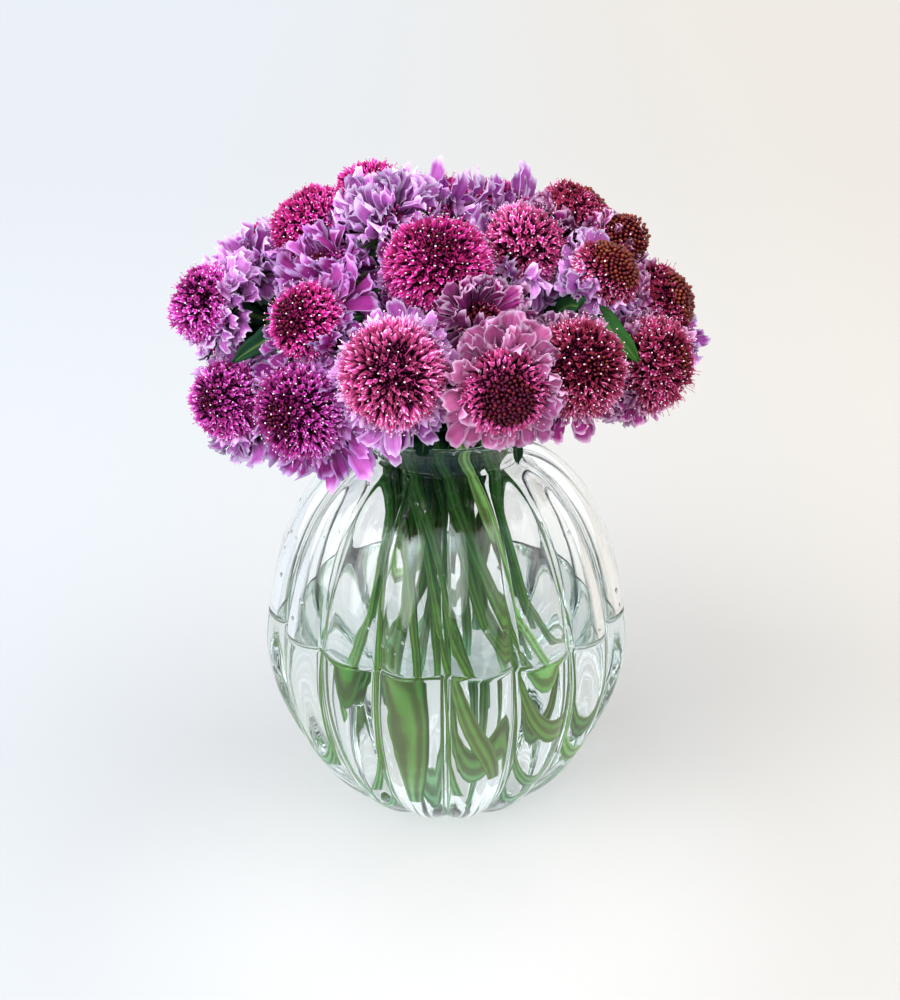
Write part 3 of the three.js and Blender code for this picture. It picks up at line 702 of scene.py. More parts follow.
class POSY_OT_water(bpy.types.Operator):
    """Fill the vase with water, its edge drawn up against the glass"""

    bl_idname = "posy.water"
    bl_label = "Water"

    bite = 0.35  # the water's skin lies this far inside the glass, so no air shows between

    def execute(self, context):
        s = context.scene.posy_vase
        level = s.water_level / MM
        rows = [(0, FLOOR - self.bite, 0), (10, FLOOR - self.bite, 0.2)]
        inside = inside_rows(s)
        for before, (r, z, lobe), after in zip([inside[0]] + inside, inside, inside[1:]):
            if z < level:
                slope = math.atan2(after[1] - before[1], after[0] - before[0])
                rows.append((
                    r + self.bite * math.sin(slope), z - self.bite * math.cos(slope), lobe,
                ))
        radii, levels, _ = zip(*inside)
        radius = np.interp(level, levels, radii)
        meniscus = [
            (radius + self.bite, level + 1.1, 1), (radius - 0.15, level + 0.95, 1),
            (radius - 0.7, level + 0.45, 1), (radius - 1.6, level + 0.12, 1),
        ]
        surface = [
            (radius - 3.0, level, 1), (radius * 0.6, level, 0.4), (radius * 0.25, level, 0),
            (0, level, 0),
        ]
        bm = spun_lobed([(*row, 1) for row in rows + meniscus + surface], s)
        self.drops(bm, s, inside)
        finish = clear_finish("Water", 1.33, s.water_colour, 2.5)
        piece_from(bm, "Water", [finish], "water", "water")
        return {"FINISHED"}

    def drops(self, bm, s, inside):
        """Drops that cling to the inside of the glass, most of them close above the water."""
        rng = random.Random(DROP_SEED)
        radii, levels, lobes = zip(*inside)
        for _ in range(s.drops):
            level = s.water_level / MM + 4 + 58 * rng.random() ** 1.4
            angle = rng.uniform(0, 2 * math.pi)
            crest = crest_of(angle * s.lobes / 2, CREASE_BLUR[1])
            lobe = np.interp(level, levels, lobes)
            radius = np.interp(level, levels, radii) * (1 - s.lobe_depth * lobe * (1 - crest))
            size = rng.uniform(0.35, 1.0)
            turned = Matrix.Rotation(angle - math.pi / 2, 4, "Z")
            spot = turned @ Matrix.Translation((radius + self.bite - 0.5 * size, 0, level))
            bmesh.ops.create_icosphere(
                bm, subdivisions=2, radius=size,
                matrix=spot @ Matrix.Diagonal((0.5, 1, rng.uniform(1.0, 1.5), 1)),
            )


# ---------------------------------------------------------------- where each bloom and stem goes
def point_site(site, compass, height):
    """Points the site's axis at a compass and height given in degrees."""
    c, h = math.radians(compass), math.radians(height)
    site.axis = np.array([math.cos(h) * math.cos(c), math.cos(h) * math.sin(c), math.sin(h)])
    side = np.cross((0.0, 0.0, 1.0), site.axis)
    site.side = side / np.linalg.norm(side)
    site.up = np.cross(site.axis, site.side)


def cells():
    """The blooms and high leaves as sites, with the walls that part each from its neighbours."""
    sites = []
    for number, bloom in enumerate(BLOOMS, 1):
        *centre, compass, height, head, reach, kind, family = bloom
        sites.append(SimpleNamespace(
            id=number, centre=np.array(centre, dtype=float),
            head=head, reach=reach, kind=kind, family=family,
            stem=min(max(STEM_SHARE * head, STEM_RANGE[0]), STEM_RANGE[1]),
            weight=(0.8 * reach) ** 2, ease=CELL_OVERLAP + SPILL.get(number, 0.0),
        ))
        point_site(sites[-1], compass, height)
    for bearer, place, tip, young in HIGH_LEAVES:
        tip = np.array(tip) / np.linalg.norm(tip)
        sites.append(SimpleNamespace(
            id=0, bearer=bearer, centre=np.array(place, dtype=float), tip=tip, young=young,
            weight=LEAF_SITE_WEIGHT,
        ))
    for site in sites:
        others = [o for o in sites if o is not site]
        towards = np.array([o.centre - site.centre for o in others])
        distance = np.linalg.norm(towards, axis=1)
        weights = np.array([o.weight for o in others])
        site.walls = towards / distance[:, None]
        site.offsets = (distance ** 2 + site.weight - weights) / (2 * distance) - 0.2
    return sites


def room_towards(site, directions):
    """How far the site's cell reaches in each direction."""
    facing = directions @ site.walls.T
    reach = np.where(facing > 1e-6, site.offsets / np.maximum(facing, 1e-6), 400.0)
    return reach.min(axis=1)


def pressed(site, points):
    """Points pressed back into the site's cell, ever tighter near its walls."""
    out = points - site.centre
    distance = np.linalg.norm(out, axis=1)
    way = out / np.maximum(distance, 1e-6)[:, None]
    room = room_towards(site, way) + site.ease
    free = 0.6 * room
    squeezed = free + 0.4 * room * (1 - np.exp(-(distance - free) / (0.4 * room)))
    kept = np.where(distance > free, squeezed, distance)
    return site.centre + way * kept[:, None]


def bundle_places(blooms):
    """Each stem's place in the bundle on a disc of radius 1, eased apart as the frame's are."""
    places = []
    for b in blooms:
        x, y, z = b.centre
        out = min(1, math.atan2(math.hypot(x, y), z - 185) / math.radians(80))
        turn = math.atan2(y, x) + LEAD
        places.append([out * math.cos(turn), out * math.sin(turn)])
    for _ in range(200):
        for i in range(len(places)):
            for j in range(i):
                dx, dy = places[i][0] - places[j][0], places[i][1] - places[j][1]
                apart = math.hypot(dx, dy)
                short = STEM_SPACING - apart
                if short > 0:
                    push = short / 2 / max(apart, 1e-9)
                    places[i][0] += dx * push
                    places[i][1] += dy * push
                    places[j][0] -= dx * push
                    places[j][1] -= dy * push
        for place in places:
            far = math.hypot(*place)
            if far > 1:
                place[0] /= far
                place[1] /= far
    return places


def stem_path(bloom, place, bowl):
    """Points from the foot of a stem on the glass, through the mouth, to the back of its bloom."""
    mouth = Vector((place[0] * MOUTH_RADIUS, place[1] * MOUTH_RADIUS, MOUTH_HEIGHT))
    x, y = place[0] * SPLAY_RADIUS, place[1] * SPLAY_RADIUS
    low = Vector((
        x * math.cos(TWIST) - y * math.sin(TWIST), x * math.sin(TWIST) + y * math.cos(TWIST), 0,
    ))
    way = (mouth - low).normalized()
    run = 100.0
    while bowl(mouth - way * run) > bloom.stem + GAP + 0.2:
        run += 0.25
    foot = mouth - way * (run - 0.25)
    end = Vector(bloom.centre - bloom.axis * (HEAD_BACK + GAP))
    reach = (end - mouth).length
    first = mouth + way * reach * 0.34
    second = end - Vector(bloom.axis) * reach * 0.36
    path = [foot.lerp(mouth, i / STRAIGHT_POINTS) for i in range(STRAIGHT_POINTS)]
    for i in range(CURVED_SPANS + 1):
        t = i / CURVED_SPANS
        path.append(
            mouth * (1 - t) ** 3 + first * 3 * t * (1 - t) ** 2
            + second * 3 * t * t * (1 - t) + end * t ** 3
        )
    return path


# ---------------------------------------------------------------- stems and leaves
def tube(bm, path, radii, sides, ribs=0.0):
    """Draws a round bar along a path, extruding its first ring from point to point."""
    way = (path[1] - path[0]).normalized()
    start = Matrix.Translation(path[0]) @ way.to_track_quat("Z", "Y").to_matrix().to_4x4()
    ring = bmesh.ops.create_circle(
        bm, cap_ends=True, segments=sides, radius=radii[0], matrix=start
    )["verts"]
    if ribs:
        edge = bm.verts.layers.float["edge"]
        for i, v in enumerate(ring):
            v.co = path[0] + (v.co - path[0]) * (1 + ribs * (1 if i % 2 else -1))
            v[edge] = i % 2
    edges = list({e for v in ring for e in v.link_edges})
    for i in range(1, len(path)):
        made = bmesh.ops.extrude_edge_only(bm, edges=edges)["geom"]
        ring = [g for g in made if isinstance(g, bmesh.types.BMVert)]
        edges = [g for g in made if isinstance(g, bmesh.types.BMEdge)]
        ahead = (path[min(i + 1, len(path) - 1)] - path[i - 1]).normalized()
        turn = way.rotation_difference(ahead).to_matrix().to_4x4()
        grown = Matrix.Scale(radii[i] / radii[i - 1], 4)
        shift = Matrix.Translation(path[i]) @ turn @ grown @ Matrix.Translation(-path[i - 1])
        bmesh.ops.transform(bm, matrix=shift, verts=ring)
        way = ahead
    bmesh.ops.holes_fill(bm, edges=edges, sides=sides)


def spline_point(points, t):
    """Point and direction at t, from 0 to 1, on a smooth curve through four points."""
    spans = len(points) - 1
    k = min(int(t * spans), spans - 1)
    u = t * spans - k
    p1, p2 = points[k], points[k + 1]
    p0 = points[k - 1] if k else p1 * 2 - p2
    p3 = points[k + 2] if k + 2 < len(points) else p2 * 2 - p1
    place = 0.5 * (2 * p1 + (p2 - p0) * u + (2 * p0 - 5 * p1 + 4 * p2 - p3) * u * u
                   + (3 * p1 - p0 - 3 * p2 + p3) * u ** 3)
    way = 0.5 * ((p2 - p0) + 2 * (2 * p0 - 5 * p1 + 4 * p2 - p3) * u
                 + 3 * (3 * p1 - p0 - 3 * p2 + p3) * u * u)
    return place, way.normalized()


def leaf(bm, points, half_width, thickness, flat, rng, teeth=5, young=0.0, grid=(6, 22)):
    """A cut leaf along a curve: a grid drawn out to its toothed outline, folded at its midrib.

    Its edge value marks the midrib and the side veins, and its along value its fresh colour.
    """
    edge = bm.verts.layers.float["edge"]
    along = bm.verts.layers.float["along"]
    verts = bmesh.ops.create_grid(bm, x_segments=grid[0], y_segments=grid[1], size=0.5)["verts"]
    faces = list({face for v in verts for face in v.link_faces})
    sway = rng.uniform(-0.5, 0.5)
    for v in verts:
        u, t = 2 * v.co.x, v.co.y + 0.5
        place, way = spline_point(points, t)
        across = way.cross(flat).normalized()
        face_up = across.cross(way).normalized()
        blade = math.sin(math.pi * min(1, t * 0.9 + 0.1)) ** 0.7 if t < 0.999 else 0.02
        tooth = 0.62 + 0.38 * abs(math.sin(math.pi * teeth * t + 0.4))
        wide = half_width * max(0.12, blade) * (tooth if abs(u) > 0.5 else 1)
        fold = abs(u) * 0.35 * wide + 0.25 * math.sin(9 * t + sway) * abs(u)
        v[along] = young * min(1, 0.15 + t)
        v[edge] = 1.0 if abs(u) < 0.1 else 0.2 * abs(math.sin(11 * t))
        forward = way * (abs(u) * 0.3 * half_width * tooth)
        v.co = place + across * (u * wide) + face_up * fold + forward
    bmesh.ops.solidify(bm, geom=faces, thickness=thickness)
    return verts


def bract_ring(bm, bloom, rng, count=11):
    """The green bracts that stand out under a bloom, round its calyx."""
    axis, side, up = Vector(bloom.axis), Vector(bloom.side), Vector(bloom.up)
    back = Vector(bloom.centre) - axis * (HEAD_BACK - 0.8)
    for i in range(count):
        angle = 2 * math.pi * (i + rng.uniform(-0.2, 0.2)) / count
        out = side * math.cos(angle) + up * math.sin(angle)
        far = rng.uniform(0.34, 0.52) * bloom.reach
        points = [
            back + out * 3.2, back + out * (far * 0.4 + 2) + axis * 0.3,
            back + out * (far * 0.75 + 2) + axis * rng.uniform(0.0, 1.5),
            back + out * (far + 2) + axis * rng.uniform(-1.0, 2.5),
        ]
        verts = bmesh.ops.create_grid(bm, x_segments=2, y_segments=5, size=0.5)["verts"]
        faces = list({face for v in verts for face in v.link_faces})
        for v in verts:
            u, t = 2 * v.co.x, v.co.y + 0.5
            place, way = spline_point(points, t)
            across = way.cross(axis).normalized()
            wide = 1.5 * (1 - 0.88 * t ** 1.6)
            v.co = place + across * u * wide - axis * (0.35 * (1 - abs(u)))
        bmesh.ops.solidify(bm, geom=faces, thickness=0.35)


def hairs(bm, path, radius, size, rng, count):
    """Fine hairs on the stretch of stem between the water and the bloom."""
    for _ in range(count):
        i = rng.randrange(9, len(path) - 2)
        at = path[i].lerp(path[i + 1], rng.random())
        way = (path[i + 1] - path[i]).normalized()
        out = way.orthogonal().normalized()
        out.rotate(Matrix.Rotation(rng.uniform(0, 2 * math.pi), 3, way))
        lean = (out + way * rng.uniform(-0.3, 0.4)).normalized()
        spot = Matrix.Translation(at + out * (radius - 0.1) + lean * size / 2)
        bmesh.ops.create_cone(
            bm, cap_ends=True, segments=3, radius1=0.09, radius2=0.02, depth=size,
            matrix=spot @ lean.to_track_quat("Z", "Y").to_matrix().to_4x4(),
        )


def bowl_distance(s):
    """A measure of the distance from a point to the inside of the glass."""
    radii, levels, lobe = np.array([(0.0, FLOOR, 0.0)] + inside_rows(s)).T

    def distance(point):
        crest = abs(math.sin((math.atan2(point.y, point.x) + math.pi / 2) * s.lobes / 2))
        line = np.column_stack([radii * (1 - s.lobe_depth * lobe * (1 - crest)), levels])
        spot = np.array([math.hypot(point.x, point.y), point.z])
        step = line[1:] - line[:-1]
        t = np.clip(((spot - line[:-1]) * step).sum(1) / (step ** 2).sum(1), 0, 1)
        return float(np.linalg.norm(spot - line[:-1] - step * t[:, None], axis=1).min())

    return distance


class POSY_OT_stems(bpy.types.Operator):
    """Stand the stems in the vase as one spiral bundle, with their bracts and leaves"""

    bl_idname = "posy.stems"
    bl_label = "Stems and leaves"

    def execute(self, context):
        s = context.scene.posy_stem
        sites = cells()
        blooms = [b for b in sites if b.id]
        bowl = bowl_distance(context.scene.posy_vase)
        stem, green = stem_finish(s), leaf_finish(s)
        bract = dotted_finish("Bract green", s.bract_colour, s.wet_colour, 0.5, 300.0)
        for bloom, place in zip(blooms, bundle_places(blooms)):
            rng = random.Random(STEM_SEED + bloom.id)
            path = stem_path(bloom, place, bowl)
            bm = new_bmesh()
            swell = [0.05 * math.sin(0.9 * i + bloom.id) for i in range(len(path))]
            radii = [bloom.stem * (1 + more) for more in swell]
            radii[-3:] = [bloom.stem * 1.15, bloom.stem * 1.7, CALYX_RADIUS]
            tube(bm, path, radii, STEM_SIDES, 0.035)
            hairs(bm, path, bloom.stem, s.hair_length / MM, rng, HAIRS_OF_STEM)
            stem_faces = len(bm.faces)
            bract_ring(bm, bloom, rng)
            bract_faces = len(bm.faces)
            thick = s.leaf_thickness / MM
            for site in (o for o in sites if not o.id and o.bearer == bloom.id):
                self.high_leaf(bm, site, path, thick, rng)
            for bearer, compass, reach, level in RIM_LEAVES:
                if bearer == bloom.id:
                    self.rim_leaf(bm, compass, reach, level, path, thick, rng)
            self.inner_leaf(bm, path, thick, rng)
            self.fill_leaves(bm, bloom, path, thick, rng)
            bm.faces.ensure_lookup_table()
            for face in bm.faces[stem_faces:bract_faces]:
                face.material_index = 2
            for face in bm.faces[bract_faces:]:
                face.material_index = 1
            bmesh.ops.recalc_face_normals(bm, faces=bm.faces[:])
            number = f"{bloom.id:02d}"
            finishes = [stem, green, bract]
            piece = piece_from(bm, f"Stem_{number}", finishes, "stem_green", f"stem_{number}")
            tone = 1.0 if bloom.id in PAINTED_LIGHT_STEMS else 0.85 * rng.random()
            add_float(piece.data, "tone", np.full(len(piece.data.vertices), tone))
        return {"FINISHED"}

    def high_leaf(self, bm, site, path, thick, rng):
        """A leaf that leaves its stem half way up to show between two blooms."""
        centre, tip = Vector(site.centre), Vector(site.tip)
        inward = Vector((-centre.x, -centre.y, 0)).normalized()
        first = path[MOUTH_POINT + 12]
        line = [first, centre - tip * 9 + inward * 7, centre, centre + tip * 11]
        leaf(bm, line, 6.0, thick, Vector((-0.1, -0.8, 0.7)), rng, 0, site.young)

    def rim_leaf(self, bm, compass, reach, level, path, thick, rng):
        """A leaf that hangs out over the rim."""
        angle, up = math.radians(compass), Vector((0, 0, 1))
        out = Vector((math.cos(angle), math.sin(angle), 0))
        line = [
            path[MOUTH_POINT + 1], out * 33 + up * 178, out * (reach - 2) + up * 176,
            out * reach + up * level,
        ]
        leaf(bm, line, 5.2, thick, up, rng)

    def inner_leaf(self, bm, path, thick, rng):
        """A leaf that lies along its stem, up through the mouth."""
        mouth = path[MOUTH_POINT]
        inward = Vector((-mouth.x, -mouth.y, 0)) * 0.12
        line = [
            path[MOUTH_POINT - 3], path[MOUTH_POINT - 1] + inward,
            path[MOUTH_POINT + 1] + inward, path[MOUTH_POINT + 5] + inward + Vector((0, 0, 3)),
        ]
        leaf(bm, line, rng.uniform(3.2, 4.6), thick, mouth.normalized(), rng, 3, grid=(4, 14))

    def fill_leaves(self, bm, bloom, path, thick, rng):
        """Four leaves that spread out crosswise under the bloom."""
        axis, side, across = Vector(bloom.axis), Vector(bloom.side), Vector(bloom.up)
        turn, last = rng.uniform(0, math.pi), path[LAST_POINT]
        for k in range(4):
            angle = turn + k * math.pi / 2
            out = side * math.cos(angle) + across * math.sin(angle)
            start = path[LAST_POINT - 5 - k]
            far = rng.uniform(0.66, 0.84) * bloom.reach
            line = [
                start, start.lerp(last, 0.5) + out * far * 0.35,
                last + out * far * 0.72 - axis * rng.uniform(1, 4),
                last + out * far - axis * rng.uniform(-1, 5),
            ]
            leaf(bm, line, rng.uniform(3.8, 5.4), thick, axis, rng, 3, grid=(4, 12))


# ---------------------------------------------------------------- petals and florets
def finished_template(bm, material_index):
    """Closes off a shape that is copied many times, faces outwards, creases kept sharp."""
    for face in bm.faces:
        face.material_index = material_index
        face.smooth = True
    bmesh.ops.recalc_face_normals(bm, faces=bm.faces[:])
    if bm.calc_volume(signed=True) < 0:
        bmesh.ops.reverse_faces(bm, faces=bm.faces[:])
    for edge in bm.edges:
        edge.smooth = edge.calc_face_angle(0) < 1.0
    mesh = bpy.data.meshes.new("template")
    bm.to_mesh(mesh)
    bm.free()
    return mesh


CLAW = 0.20  # share of a lobe taken by its narrow stalk


def ray_lobe(rng, half_width, ruffle, curl):
    """A spoon-shaped lobe of unit length along Y, rounded and finely crimped at its tip."""
    bm = new_bmesh()
    along, edge = bm.verts.layers.float["along"], bm.verts.layers.float["edge"]
    bmesh.ops.create_grid(bm, x_segments=6, y_segments=5, size=0.5, calc_uvs=True)
    phase, waves = rng.uniform(0, 6.28), rng.uniform(0.6, 1.3)
    crimp, sway, cup = rng.uniform(0, 6.28), rng.uniform(-0.12, 0.12), rng.uniform(-0.2, 0.6)
    widest, notch = rng.uniform(0.62, 0.74), rng.choice((0.0, 0.03, 0.06))
    arc = 1.1  # half the turn of the lobe's round tip, in radians
    for v in bm.verts:
        u, t = 2 * v.co.x, 1 - (0.5 - v.co.y) ** 1.2
        turn, rise = arc * u, min(1, max(0, t - CLAW) / (widest - CLAW))
        wide = half_width * (0.20 + 0.80 * rise * rise * (3 - 2 * rise))
        x = math.sin(turn) / math.sin(arc) * wide * (1 if t < 0.99 else 0.84) + sway * t * t
        y = t - (1 - math.cos(turn)) * half_width * max(0, t - 0.45) / 0.55
        y += (0.020 * math.sin(7.5 * u + crimp) - notch * (1 - abs(u)) ** 2) * t ** 4
        wave = ruffle * t * math.sin(math.pi * waves * u + phase)
        wave += 0.055 * t ** 3 * math.sin(8 * u + 2 * phase)
        flutter = 0.07 * math.sin(12 * t + phase + 3 * u) * u * u * t
        y += rng.uniform(-0.035, 0.025) if t > 0.97 else 0
        wave += rng.uniform(-0.03, 0.03) * (t > 0.6)
        v[along] = t
        v[edge] = 1.0 if t > 0.97 or (abs(u) > 0.95 and t > 0.35) else 0.0
        v.co = (x, y, wave + flutter + curl * t ** 3 + cup * u * u * t * half_width)
    bmesh.ops.solidify(bm, geom=bm.faces[:], thickness=0.014)
    return finished_template(bm, 0)


def star_floret(rng, lobes, spread, sharp, outward, material_index):
    """A small tubular floret of unit height along Z, its longest lobe reaching towards Y."""
    bm = new_bmesh()
    along, edge = bm.verts.layers.float["along"], bm.verts.layers.float["edge"]
    ring = bmesh.ops.create_circle(bm, cap_ends=True, segments=lobes * 2, radius=0.10)["verts"]
    edges = list({e for v in ring for e in v.link_edges})
    made = bmesh.ops.extrude_edge_only(bm, edges=edges)["geom"]
    rim = [g for g in made if isinstance(g, bmesh.types.BMVert)]
    rim.sort(key=lambda v: math.atan2(v.co.y, v.co.x))
    for i, v in enumerate(rim):
        tip = i % 2 == 0
        way = Vector((v.co.x, v.co.y, 0)).normalized()
        ahead = outward * max(0, way.y)
        far = (spread if tip else spread * sharp) * rng.uniform(0.82, 1.18) * (1 + ahead)
        level = rng.uniform(0.84, 1.04) if tip else rng.uniform(0.60, 0.72)
        v.co = way * far + Vector((0, 0, level - 0.12 * ahead))
        v[along], v[edge] = (1.0, 1.0) if tip else (0.6, 0.0)
    rim_edges = [g for g in made if isinstance(g, bmesh.types.BMEdge)]
    made = bmesh.ops.extrude_edge_only(bm, edges=rim_edges)["geom"]
    throat = [g for g in made if isinstance(g, bmesh.types.BMVert)]
    for v in throat:
        v[along], v[edge] = 0.2, 0.0
    bmesh.ops.pointmerge(bm, verts=throat, merge_co=(0, 0, 0.45))
    return finished_template(bm, material_index)


def pin(rng, size, head):
    """A stamen: a fine thread of the given length along Z with a pale head."""
    bm = new_bmesh()
    along, edge = bm.verts.layers.float["along"], bm.verts.layers.float["edge"]
    thread = bmesh.ops.create_cone(
        bm, cap_ends=True, segments=3, radius1=0.13, radius2=0.10, depth=size,
        matrix=Matrix.Translation((0, 0, size / 2)),
    )["verts"]
    for v in thread:
        v[along] = 0.8
    for face in bm.faces:
        face.material_index = 1
    top = Matrix.Translation((rng.uniform(-0.1, 0.1), 0, size))
    turned = top @ Matrix.Rotation(rng.uniform(0, 3), 4, "X")
    ball = bmesh.ops.create_uvsphere(
        bm, u_segments=4, v_segments=3, radius=head,
        matrix=turned @ Matrix.Diagonal((1, 0.9, 1.3, 1)),
    )["verts"]
    for v in ball:
        v[along] = v[edge] = 1.0
        for face in v.link_faces:
            face.material_index, face.smooth = 2, True
    mesh = bpy.data.meshes.new("template")
    bm.to_mesh(mesh)
    bm.free()
    return mesh


def bead():
    """A closed bud of unit radius, narrower towards its top."""
    bm = new_bmesh()
    along = bm.verts.layers.float["along"]
    bmesh.ops.create_icosphere(bm, subdivisions=1, radius=1.0)
    for v in bm.verts:
        rise = v.co.z
        v[along] = 0.5 + 0.5 * rise
        v.co.x *= 1 - 0.12 * rise
        v.co.y *= 1 - 0.12 * rise
    return finished_template(bm, 3)


def core_dome():
    """The head's core as a unit ball."""
    bm = new_bmesh()
    bmesh.ops.create_uvsphere(bm, u_segments=24, v_segments=14, radius=1.0)
    return finished_template(bm, 4)


class Bloom:
    """Gathers the placed copies of templates that make up one bloom."""

    def __init__(self, site, rng):
        self.site, self.rng = site, rng
        self.bm = new_bmesh()
        self.frames, self.counts, self.tones = [], [], []

    def add(self, template, root, across, along, normal, scale, tone):
        """Puts a template down with its X, Y and Z axes along three directions."""
        frame_matrix = np.column_stack([
            np.asarray(across) * scale[0], np.asarray(along) * scale[1],
            np.asarray(normal) * scale[2], root,
        ])
        self.bm.from_mesh(template)
        self.frames.append(frame_matrix)
        self.counts.append(len(template.vertices))
        self.tones.append(tone)

    def any_way(self):
        """A random direction on the side of the head that shows."""
        way = self.site.axis + np.array([self.rng.gauss(0, 0.8) for _ in range(3)])
        return way / np.linalg.norm(way)

    def around(self, angle):
        return self.site.side * math.cos(angle) + self.site.up * math.sin(angle)

    def leaning(self, template, root, way, down, width, height, tone):
        """Puts a template down with its Z along a way and its Y leaning down the dome."""
        across = np.cross(down, way)
        across /= max(np.linalg.norm(across), 1e-9)
        second = np.cross(way, across)
        turn = self.rng.uniform(-0.7, 0.7)
        first = across * math.cos(turn) + second * math.sin(turn)
        self.add(template, root, first, np.cross(way, first), way, (width, width, height), tone)

    def finish(self, name, materials, slot, node):
        mesh = bpy.data.meshes.new(name)
        self.bm.to_mesh(mesh)
        self.bm.free()
        points = read_points(mesh)
        frames = np.repeat(np.array(self.frames), self.counts, axis=0)
        placed = np.einsum("nij,nj->ni", frames[:, :, :3], points) + frames[:, :, 3]
        write_points(mesh, pressed(self.site, placed))
        add_float(mesh, "tone", np.repeat(self.tones, self.counts))
        return piece_from_mesh(mesh, name, materials, slot, node)


def head_point(site, size, tall, share, angle):
    """A place on the head's dome, the way out of it and the way down it.

    The share is 0 at the crown and 1 at the lowest ring of florets.
    """
    polar = share * math.radians(112)
    radial = site.side * math.cos(angle) + site.up * math.sin(angle)
    height = tall if polar < math.pi / 2 else size * 0.8
    place = radial * math.sin(polar) * size + site.axis * math.cos(polar) * height
    way = radial * math.sin(polar) / size + site.axis * math.cos(polar) / height
    down = radial * math.cos(polar) * size - site.axis * math.sin(polar) * height
    return place, way / np.linalg.norm(way), down


def fitted(site, place, along, long):
    """A petal's length, cut back where it would run far past the room its neighbours leave."""
    tip = place + along * long - site.centre
    far = np.linalg.norm(tip)
    room = room_towards(site, (tip / far)[None, :])[0] + site.ease
    return long * max(0.5, min(1, 1.08 * room / far))


def grow_rays(bloom, templates, rings, size):
    """The rings of ray florets, each a fan of lobes, fitted to the room their neighbours leave."""
    site, rng = bloom.site, bloom.rng
    for count, root, level, share, tilt, standing in rings:
        start = rng.uniform(0, 2 * math.pi)
        for i in range(count):
            angle = start + 2 * math.pi * (i + rng.uniform(-0.3, 0.3)) / count
            out = bloom.around(angle)
            room = room_towards(site, out[None, :])[0]
            roomy = min(1.10, max(1.0, room / site.reach)) if room < OPEN_SIDE else 0.97
            reach = site.reach * share * roomy * rng.uniform(0.88, 1.06)
            crowd = math.acos(min(1, 0.97 * room / reach)) * 0.6
            lean = tilt + crowd * (1 if rng.random() < standing else -0.5) + rng.uniform(-0.2, 0.2)
            place = site.centre + out * root * size + site.axis * level * size
            tone = min(1, max(0, rng.gauss(0.48, 0.24)))
            for turn, long, lift in LOBES_OF_RAY:
                turned = turn + rng.uniform(-0.14, 0.14)
                rise = lean + lift + rng.uniform(-0.15, 0.15)
                fan = out * math.cos(turned) + np.cross(site.axis, out) * math.sin(turned)
                along = fan * math.cos(rise) + site.axis * math.sin(rise)
                full = (reach - root * size) * long * rng.uniform(0.92, 1.05)
                lobe = fitted(site, place, along, full)
                flat = np.cross(fan, site.axis)
                roll = rng.uniform(-0.55, 0.55)
                across = flat * math.cos(roll) + np.cross(flat, along) * math.sin(roll)
                bloom.add(
                    rng.choice(templates), place, across, along, np.cross(across, along),
                    (lobe, lobe, lobe), min(1, max(0, tone + rng.uniform(-0.12, 0.12))),
                )


def strewn(bloom, count, spread, low, high, size, tall):
    """Places over the head's dome in a sunflower spiral: root, way out, way down it and share."""
    golden = math.pi * (3 - math.sqrt(5))
    start = bloom.rng.uniform(0, 2 * math.pi)
    count = max(1, round(count * (size / CORE_SHARE / HEAD_OF_COUNTS) ** 2))
    for i in range(count):
        share = math.sqrt((i + bloom.rng.random()) / count)
        if low <= share <= high:
            place, way, down = head_point(bloom.site, size, tall, share, start + i * golden)
            way = way + spread * np.array([bloom.rng.uniform(-1, 1) for _ in range(3)])
            yield bloom.site.centre + place, way / np.linalg.norm(way), down, share


def grow_head(bloom, kit, size, tall, buds):
    """The dome of florets, closed buds and pin-headed stamens."""
    site, rng = bloom.site, bloom.rng
    spec = HEADS[site.kind]
    core, crown = size * CORE_SHARE, tall * CORE_SHARE
    swells = [(bloom.any_way(), rng.uniform(0.25, 0.60)) for _ in range(4)]
    hollows = [(bloom.any_way(), rng.uniform(0.6, 1.0)) for _ in range(5)]
    for root, way, down, share in strewn(bloom, spec.florets, 0.26, buds, 1, core, crown):
        grown = 0.62 + 0.38 * min(1, (share - buds) / 0.30)
        sunk = max(depth * max(0, float(way @ place)) ** 16 for place, depth in hollows)
        if sunk > 0.45 and rng.random() < 0.6:
            continue
        raised = max(rise * max(0, float(way @ place)) ** 6 for place, rise in swells)
        height = size * rng.uniform(0.19, 0.31) * grown * (1 + raised) * (1 - 0.6 * sunk)
        width = rng.uniform(1.7, 2.7) * grown
        # Tone: lighter low on the dome, darker in a hollow as painted shade, and lighter on a
        # swell as painted light.
        tone = 0.27 + 0.42 * share + 0.6 * raised - sunk + rng.uniform(-0.34, 0.34)
        tone = min(1, max(0, tone))
        bloom.leaning(rng.choice(kit.florets), root, way, down, width, height, tone)
    for root, way, down, share in strewn(bloom, spec.collar, 0.35, 0.78, 1, core, crown):
        height = size * rng.uniform(0.32, 0.50)
        cup, width, tone = rng.choice(kit.cups), rng.uniform(6.5, 9.0), rng.uniform(0.4, 1)
        bloom.leaning(cup, root, way, down, width, height, tone)
    for root, way, down, share in strewn(bloom, spec.beads, 0.05, 0, buds + 0.04, core, crown):
        radius = spec.bead * rng.uniform(0.8, 1.2)
        raised = radius * (0.7 + 1.6 * (1 - share) * rng.random())
        place, tone = root + way * raised, rng.random()
        bloom.leaning(kit.bead, place, way, down, radius, radius * 1.2, tone)
    for root, way, down, share in strewn(bloom, spec.pins, 0.24, spec.pin_free, 1, core, crown):
        stretch = size * rng.uniform(0.22, 0.46) * (0.66 + 0.34 * share) / kit.pin_length
        thread, tone = rng.choice(kit.pins), rng.random()
        bloom.add(thread, root, *pin_axes(way, site.side), (1, 1, stretch), tone)


def pin_axes(way, side):
    """Three axes for a stamen, the last along it."""
    across = np.cross(way, side + np.array([0.013, 0.021, 0.034]))
    across /= np.linalg.norm(across)
    return across, np.cross(way, across), way


